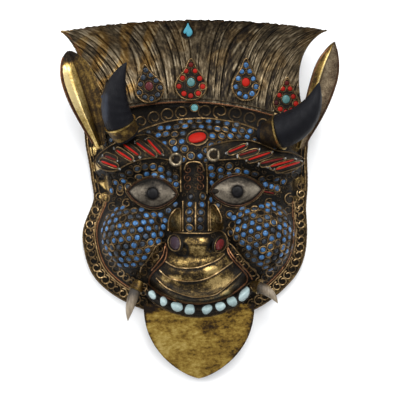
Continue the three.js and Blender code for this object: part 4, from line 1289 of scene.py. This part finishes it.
def lock_profile(u, w, x, y):
    """Relief of the locks, how rubbed and how full they are, and how far their patterns slide sideways.

    Each lock rises to a thin bright edge on its outer side.
    """
    fanned = (u + 0.04) / (0.75 + 0.4 * w**1.5)
    phase = LOCKS * (fanned + 1.3) / 2.4
    phase = phase + 0.42 * np.sin(7 * fanned + 1.2 * w) + 0.25 * np.sin(19 * fanned + 2.5 * w)
    number = np.clip(np.floor(phase).astype(int), 0, len(lock_tones) - 1)
    f = np.where(fanned < 0, 1 - phase % 1, phase % 1)
    deep = lock_depths[number] * np.where(fanned > 0, 0.75, 1)
    rise = 1 - deep * (1 - smooth_step(0, 0.16, f) * (0.5 + 0.5 * f) * smooth_step(1, 0.92, f))
    strand = 0.5 + 0.5 * np.cos(TURN * (3.2 * f + 0.6 * np.sin(4 * w + number)))
    broken = smooth_step(-0.2, 0.3, waviness(x, y, 22, 21))
    edge = deep * (bell(f, 0.84, 0.08) + 0.7 * bell(f, 0.42, 0.06))
    fade = smooth_step(0.02, 0.15, w)
    height = fade * ((LOCK_RELIEF + GROOVE) * rise - GROOVE + 0.3 * strand * rise) + 0.3 * fade * edge
    bare = 0.225 + 0.27 * rise + 0.08 * strand * rise + 0.85 * edge * broken + 1.3 * lock_tones[number]
    bare = bare + 0.12 * waviness(x, y, 26, 22) + 0.06 * smooth_step(-30, -90, x)
    bare = mix(0.3 + 0.08 * waviness(x, y, 20, 23), bare, fade)
    slide = (0.75 * fanned * HAIR["half"] - x) * MM
    return height, bare, np.clip(rise, 0, 1), slide


def hair_piece():
    u, w = np.meshgrid(np.linspace(-1, 1, HAIR_COLUMNS), np.linspace(0, 1, HAIR_ROWS))
    x, y, z = hair_spot(u, w)
    height, bare, rise, slide = lock_profile(u, w, x, y)
    strands = np.abs(np.sin(61 * u) * np.sin(17 * u + 1))
    frayed = (1.5 * (1 - rise) + 0.8 * strands) * smooth_step(0.94, 1, w)
    front = np.stack([x, y - frayed, z + height], -1)
    back = np.stack([x, y - frayed, z - HAIR_SHEET], -1)
    warm = smooth_step(-25, -60, x) * smooth_step(0.1, 0.25, w)
    warm = warm * smooth_step(-0.1, 0.3, waviness(x, y, 26, 24))
    warm = warm + (0.15 + 0.3 * smooth_step(0.1, 0.4, waviness(x, y, 30, 25))) * smooth_step(0.02, 0.2, w)
    marks = {"bare": both_sides(bare, 0.25), "other": both_sides(warm), "slide": np.tile(slide.ravel(), 2)}
    piece("hair", sheet(front, back), hair_metal, "hair_brass", ["hair_crown"], **marks)
    hair_wires()


def hair_wires():
    """Wires along the hem, the top edge and both sides of the hair."""
    hem, top, side = np.linspace(-0.66, 0.72, 50), np.linspace(-0.97, 0.97, 120), np.linspace(0.45, 0.97, 40)
    edges = [
        (hem, 0.012, 0.9, copper_wires, 0.48),
        (hem, 0.05, 0.6, brass_wires, 0.25),
        (top, 0.972, 0.5, copper_wires, 0.6),
        (-0.975, side, 0.6, copper_wires, 0.75),
        (0.98, side, 0.5, brass_wires, 0.5),
    ]
    for u, w, radius, heap, mark in edges:
        x, y, z = hair_spot(*np.broadcast_arrays(u, w))
        heap.add(tube(np.column_stack([x, y, z + 0.8]), UP, radius), mark)


# Jewels on the hair
HALF_DROP = [(0.36, 0.5), (0.72, 0.12), (0.98, -0.28), (0.86, -0.66), (0.45, -0.94)]
DROP = smooth_path([(0, 1), *HALF_DROP, (0, -1), *((-x, y) for x, y in HALF_DROP[::-1])], 0.14, True)[:-1]
JEWEL_SPOTS = np.array([(0, 0.66), (-0.28, 0.36), (0.28, 0.37), (-0.53, 0.04), (0.53, 0.03), (-0.72, -0.34),
                        (0.72, -0.34), (-0.44, -0.66), (0.44, -0.66), (0, -0.78)])
# Each jewel's round stones and how many of them are still bright, then its middle stone and that one's tone
JEWEL_STONES = [
    ("blue", 0.5, "turquoise", 0.4), ("blue", 0.03, "garnet", 0.75), ("red", 0.5, "turquoise", 0.42),
    ("blue", 0.85, "coral", 0.85), ("red", 0.8, "turquoise", 0.38),
]


def teardrop(jewel, shrink=0.0):
    at, rx, ry, lean = jewel
    return turned(DROP * (rx - shrink, ry - 1.25 * shrink), at, lean)


def jewel_pieces():
    finishes = {"turquoise": turquoise_stone, "garnet": garnet_stone, "coral": coral_stone}
    for number, (jewel, stones) in enumerate(zip(JEWELS, JEWEL_STONES), 1):
        kind, good, middle, tone = stones
        at, rx, ry, lean = jewel
        part = plate(teardrop(jewel), hair_top, dome(0.6, 0.9, 8), depth=0.5, rings=8)
        bare = 0.1 * waviness(*part[0][:, :2].T, 10, number)
        piece(f"jewel_plate_{number}", part, hair_metal, "hair_brass", [f"jewel_{number}"], bare=bare)
        wire(brass_wires, teardrop(jewel, 0.6), 0.8, hair_top, 1.6, closed=True, mark=0.5)
        spots = turned(JEWEL_SPOTS * (rx, ry), at, lean) + rng.normal(0, 0.2, JEWEL_SPOTS.shape)
        set_stones(spots, jewel_top, blue_stones if kind == "blue" else red_stones, 2.6, 0.02, good)
        rx, ry, rise, drop = JEWEL_STONE
        spot = turned((0, -drop), at, lean)
        disc = plate(oval(rx, ry, spot, sides=28), hair_top, dome(rise - 0.8, 1.8, 3), depth=-0.5, rings=9)
        name, node = f"jewel_middle_{number}", f"jewel_stone_{number}"
        piece(name, disc, finishes[middle], middle, [node], mark=tone)
        bezel(spot, rx + 0.9, ry + 0.9, 0, hair_top, 1.8, 0.35, 0.6)


def crown_piece():
    """The drop of turquoise over the middle jewel. Its lower left side is chipped."""
    at, rx, ry, rise, _ = TOP_STONE
    outline = teardrop((at, rx, ry, 0))
    chipped = np.exp(-np.sum((outline - (at[0] - 2.5, at[1] - 5.5)) ** 2, axis=1) / 3)
    outline = outline + (at - outline) * 0.42 * chipped[:, None]
    part = plate(outline, hair_top, dome(rise - 0.5, 0.4, 3), depth=0.4, rings=9)
    piece("crown_stone", part, turquoise_stone, "turquoise", ["crown_turquoise"], mark=0.95)
    cell_floor(teardrop((at, rx + 1.8, ry + 2.2, 0)), hair_top, 0.3, 4, 0.5)
    wire(brass_wires, teardrop((at, rx + 2, ry + 2.2, 0)), 0.6, hair_top, 0.4, closed=True, mark=0.25)


def jewel_top(x, y):
    return hair_top(x, y) + JEWEL_PLATE - 0.2


# Horns and tusks
def girth(horn, t):
    _, _, _, radius, root, socket = horn

    def full(s):
        return radius * np.sqrt(np.maximum(1 - s**TAPER_POWER, 0)) * (1 - TIP_SLIM * np.minimum(s, 1) ** 4)

    return np.maximum(np.where(t < socket, mix(root, full(socket), t / socket), full(t)), TIP_RADIUS)


def horn_rings(horn, t, extra, sides):
    """Rings round a horn's middle line, at places t from its root (0) to its tip (1)."""
    a, b, c = (np.array(p, float) for p in horn[:3])
    t = np.asarray(t, float)
    s = t[:, None]
    line = a * (1 - s) ** 2 + 2 * b * s * (1 - s) + c * s**2
    forward = unit(2 * (b - a) * (1 - np.maximum(s, 0)) + 2 * (c - b) * np.maximum(s, 0))
    side = unit(np.cross([0, 0, 1.0], forward))
    up = np.cross(forward, side)
    angle = (np.arange(sides) * TURN / sides)[None, :, None]
    radius = (girth(horn, t) + extra)[:, None, None]
    return line[:, None] + radius * (np.cos(angle) * side[:, None] + np.sin(angle) * up[:, None])


def seated(rings, sink=0.9):
    """Keeps a root from coming through to the back of the face."""
    rings = np.array(rings)
    x, y = rings[..., 0], rings[..., 1]
    rings[..., 2] = np.maximum(rings[..., 2], face_height(x, y) - sink)
    return rings


HORN_SIDES = 56
HORN_CUP_SIDES = 48
TUSK_SIDES = 28
# Collars: where they start, how bare they are, and how much barer their lip is
HORN_COLLARS = {"left": (0.05, 0.3, 0.35), "right": (0.06, 0.1, 0.6)}
TUSK_COLLAR = (-0.02, 0.3, 0.15)


def stations(start, count, tip_count):
    """Places from the root to the tip, closer together where the tip rounds over."""
    tip = np.sin(np.linspace(0, 1, tip_count)[1:] * math.pi / 2)
    return np.r_[np.linspace(start, 0.9, count), 0.9 + 0.1 * tip]


def horn_pieces():
    for side, horn in HORNS.items():
        t = stations(0.02, 60, 16)
        rings = horn_rings(horn, t, 0, HORN_SIDES)
        angle = np.arange(HORN_SIDES) * TURN / HORN_SIDES
        s = t[:, None]
        groove = 1 + 0.012 * np.sin(7 * angle + 5 * s) + 0.01 * np.sin(60 * s + 2 * angle)
        middle = rings.mean(1, keepdims=True)
        rings = middle + (rings - middle) * groove[..., None]
        part = skin(seated(rings))
        x, y = part[0][:, :2].T
        # a painted highlight on the left side of the left horn
        worn = smooth_step(-84, -91, x) * smooth_step(70, 80, y) * smooth_step(112, 100, y)
        piece("horn_body_" + side, part, black_horn, "black_horn", ["horn_" + side], worn=0.6 * worn)
        collar = HORN_COLLARS[side]
        socket_piece("horn_cup_" + side, "horn_socket_" + side, horn, HORN_CUP_SIDES, *collar)
    for side, tusk in TUSKS.items():
        t = stations(0.05, 30, 9)
        part = skin(seated(horn_rings(tusk, t, 0, TUSK_SIDES)))
        stain = np.r_[np.repeat(0.12 + 0.8 * smooth_step(0.65, 0.2, t), TUSK_SIDES), 0.1, 0.1]
        piece("tusk_body_" + side, part, bone, "bone", ["tusk_" + side], mark=stain)
        socket_piece("tusk_cup_" + side, "tusk_socket_" + side, tusk, TUSK_SIDES, *TUSK_COLLAR)


def socket_piece(name, node, horn, sides, start, bare, lip_bare):
    """A cup of sheet brass round the root, with a rolled lip."""
    socket = horn[5]
    outer = np.linspace(start, socket, 20)
    lip = 0.7 * smooth_step(socket * 0.8, socket, outer)
    rings = [*horn_rings(horn, outer, SEAM + SOCKET_SHEET + lip - 0.5, sides)]
    rings += [*horn_rings(horn, [socket, socket * 0.7], SEAM * 0.3, sides)]
    part = skin(seated(rings))
    x, y = part[0][:, :2].T
    at_lip = np.zeros(len(rings))
    at_lip[17:21] = lip_bare  # the last three rings of the outside and the first of the inside
    marks = bare + 0.2 * waviness(x, y, 9, 2) + np.r_[np.repeat(at_lip, sides), 0, 0]
    piece(name, part, gold, "bright_brass", [node], bare=marks)


# Ears
EAR_TIPS = {"left": 0.6, "right": 0.85}  # how pointed each tip is
EAR_COLUMNS = 90
EAR_ROWS = 130


def ear_half(half, a, pointed):
    widening = half * mix(EAR_ROOT, 1, np.sin(np.clip(a / EAR_WIDEST, 0, 1) * math.pi / 2))
    closing = 1 - np.clip((a - EAR_WIDEST) / (1 - EAR_WIDEST), 0, 1) ** 2
    return np.where(a < EAR_WIDEST, widening, half * np.maximum(closing**pointed, 0.05))


def ear_pieces():
    b, a = np.meshgrid(np.linspace(-1, 1, EAR_COLUMNS), np.linspace(0, 1, EAR_ROWS))
    for side, (root, tip, across, half) in EARS.items():
        root, along = np.array(root, float), np.subtract(tip, root)
        across = unit(np.array(across))
        out = unit(np.cross(across, along))
        cup = EAR_CUP * b * b * np.sin(math.pi * np.clip(a, 0.12, 0.96))
        crease = bell(b, FOLD_AT, FOLD_WIDTH)
        ragged = 1 - 0.035 * np.abs(np.sin(9 * b + 1) * np.sin(23 * b)) * smooth_step(0.8, 1, a)
        wide = 0.98 * b * ear_half(half, a, EAR_TIPS[side])
        flat = root + (0.995 * a * ragged)[..., None] * along + wide[..., None] * across
        leaf = left_leaf if side == "left" else right_leaf
        lift, bare, silver = leaf(a, b, *np.moveaxis(flat[..., :2], -1, 0))
        lift = lift + cup + EAR_FOLD * crease * (1 - a**4)
        front = flat + lift[..., None] * out
        back = flat + (lift - EAR_SHEET)[..., None] * out
        marks = {"bare": both_sides(np.clip(bare, 0, 1), 0.3), "other": both_sides(silver)}
        piece("ear_leaf_" + side, sheet(front, back), gold, "bright_brass", ["ear_" + side], **marks)
        edges = [front[:, 2].T, front[:, 7].T] if side == "left" else [front[:, 4].T, front[:, -5].T]
        for edge, mark in zip(edges, (0.5, 0.3)):
            copper_wires.add(tube(even(edge.T[6:-6], 1.6) + 0.2 * out, out, 0.7), mark)


def left_leaf(a, b, x, y):
    """The left ear: a bright roll down its left half, lit towards its left edge by a painted highlight, and
    a streaked lobe beside it, dark partly as painted shade.
    """
    roll = np.sqrt(np.clip(1 - ((b + 0.36) / 0.5) ** 2, 0, 1)) * smooth_step(0.95, 0.8, a)
    # the lobe: streaked brass, darkened partly as painted shade next to the horn
    lobe = 0.26 + 0.12 * smooth_step(0.5, 0.9, a) + 0.06 * np.sin(19 * b + 2 * a)
    lobe = lobe + 0.1 * waviness(x, y, 22, 31)
    # outer: a painted highlight, brighter towards the roll's left edge
    outer = smooth_step(-0.1, -0.75, b) * smooth_step(0.1, 0.6, a)
    gilt = 0.71 + 0.1 * waviness(x, y, 24, 32) + 0.34 * outer
    bare = mix(lobe, gilt, smooth_step(0.1, 0.55, roll))
    return 2.4 * roll - 0.9 * bell(b, 0.2, 0.08), bare * smooth_step(0.99, 0.84, a), 0 * a


def right_leaf(a, b, x, y):
    """The right ear: a golden midrib, smooth dark gold left of it, and mottled brown right of it."""
    rib = bell(b, FOLD_AT, 0.09) * smooth_step(1, 0.9, a)
    right = smooth_step(FOLD_AT - 0.06, FOLD_AT + 0.06, b)
    mottled = 0.36 + 0.26 * bell(b, 0.1, 0.4) + 0.16 * waviness(x, y, 14, 34)
    bare = mix(0.44 + 0.1 * waviness(x, y, 24, 33), mottled, right)
    return 1.5 * rib, bare + 0.6 * rib, 0.75 * right * (1 - rib)


# Tongue
TONGUE_COLUMNS = 100
TONGUE_ROWS = 90


def tongue_piece():
    b, t = np.meshgrid(np.linspace(-1, 1, TONGUE_COLUMNS), np.linspace(0, 1, TONGUE_ROWS))
    g = TONGUE
    half = g["half"] * np.maximum((1 - t**2.3) ** 0.72, 0.01)
    x = g["middle"] + b * half
    y = mix(g["top"], g["tip"], t)
    z = mix(g["root_z"], g["tip_z"], t) + g["crown"] * (1 - b * b) * (1 - t * t)
    z = z + 0.25 * waviness(x, y, 22, 12)
    order = slice(None, None, -1)
    front = np.stack([x, y, z], -1)[order]
    back = np.stack([x, y, z - TONGUE_SHEET], -1)[order]
    bare = 0.64 + 0.14 * waviness(x, y, 42, 9) + 0.08 * waviness(x, y, 18, 10)
    # darker on the right half and along a band on the left
    bare = bare - 0.16 * smooth_step(2, 10, x) - 0.3 * bell(y, -121, 3) * smooth_step(-5, -15, x)
    # darker in a patch at the upper left
    bare = bare - 0.5 * smooth_step(11, 4, np.hypot(x + 48, (y + 108) * 1.1))
    # darker at the side edges, and near the root as painted shade under the jaw
    bare = bare - 0.3 * smooth_step(0.93, 1, np.abs(b)) - 0.35 * smooth_step(0.13, 0.03, t)
    marks = both_sides(np.clip(bare, 0, 1)[order], 0.4)
    piece("tongue_sheet", sheet(front, back), tongue_brass, "bright_brass", ["tongue"], bare=marks)


# Setting: floor, lights and camera
CAMERA_HEIGHT = 3000
FOCUS_HEIGHT = 30
CAMERA_X = 3
FRAME_WIDTH = 400  # the picture's width at the focus height
SENSOR = 36
FLOOR_REACH = 4.0
# Lights: name, kind, place, power, size
LIGHTS = [
    ("key", "SUN", (0.8, 0.9, 1.8), 2.0, 1.0),
    ("left_panel", "AREA", (-1.3, 0.5, 1.2), 22, 1.1),
    ("top_panel", "AREA", (0.3, 1.5, 1.6), 22, 1.2),
]
SKY = (0.95, 0.97, 1.0, 1)
SKY_STRENGTH = 0.62


def floor_piece():
    mesh = bpy.data.meshes.new("floor")
    corners = [(FLOOR_REACH * x, FLOOR_REACH * y, 0) for x, y in ((-1, -1), (1, -1), (1, 1), (-1, 1))]
    mesh.from_pydata(corners, [], [(0, 1, 2, 3)])
    paint = Paint("floor_white", Roughness=0.9)
    paint.set(Base_Color=paint.ramp(paint.noise(400, 2), [(0, (0.9, 0.9, 0.9)), (1, (0.92, 0.92, 0.92))]))
    mesh.materials.append(paint.material)
    floor = bpy.data.objects.new("floor", mesh)
    bpy.context.scene.collection.objects.link(floor)


def light(name, kind, at, power, size):
    data = bpy.data.lights.new(name, kind)
    data.energy = power
    if kind == "SUN":
        data.angle = size
    else:
        data.shape = "DISK"
        data.size = size
    lamp = bpy.data.objects.new(name, data)
    lamp.location = at
    lamp.rotation_euler = (-Vector(at)).to_track_quat("-Z", "Y").to_euler()
    bpy.context.scene.collection.objects.link(lamp)


def setting():
    scene = bpy.context.scene
    scene.view_settings.view_transform = "Standard"
    floor_piece()
    for lamp in LIGHTS:
        light(*lamp)
    world = bpy.data.worlds.new("studio")
    world.use_nodes = True
    sky = world.node_tree.nodes["Background"].inputs
    sky["Color"].default_value = SKY
    sky["Strength"].default_value = SKY_STRENGTH
    scene.world = world
    data = bpy.data.cameras.new("camera")
    data.sensor_width = SENSOR
    data.lens = SENSOR * (CAMERA_HEIGHT - FOCUS_HEIGHT) / FRAME_WIDTH
    data.clip_start, data.clip_end = 0.1, 20
    camera = bpy.data.objects.new("camera", data)
    camera.location = ORIGIN + np.array([CAMERA_X, 0, CAMERA_HEIGHT]) * MM
    scene.collection.objects.link(camera)
    scene.camera = camera


setting()
face_piece()
cheek_stones()
row_stones()
face_wires()
eye_pieces()
brow_pieces()
face_stones()
tooth_pieces()
hair_piece()
jewel_pieces()
crown_piece()
horn_pieces()
ear_pieces()
tongue_piece()
fill_scrolls()
blue_stones.piece("blue_stones", blue_stone, "blue_stone")
red_stones.piece("red_stones", coral_stone, "coral")
stone_rings.piece("stone_rings", wires, "hair_brass")
brass_wires.piece("brass_wires", wires, "hair_brass")
copper_wires.piece("copper_wires", copper, "copper_wire")
cells.piece("cell_floors", cell_black, "dark_brass")
solder.piece("solder_bits", solder_grey, "tin")
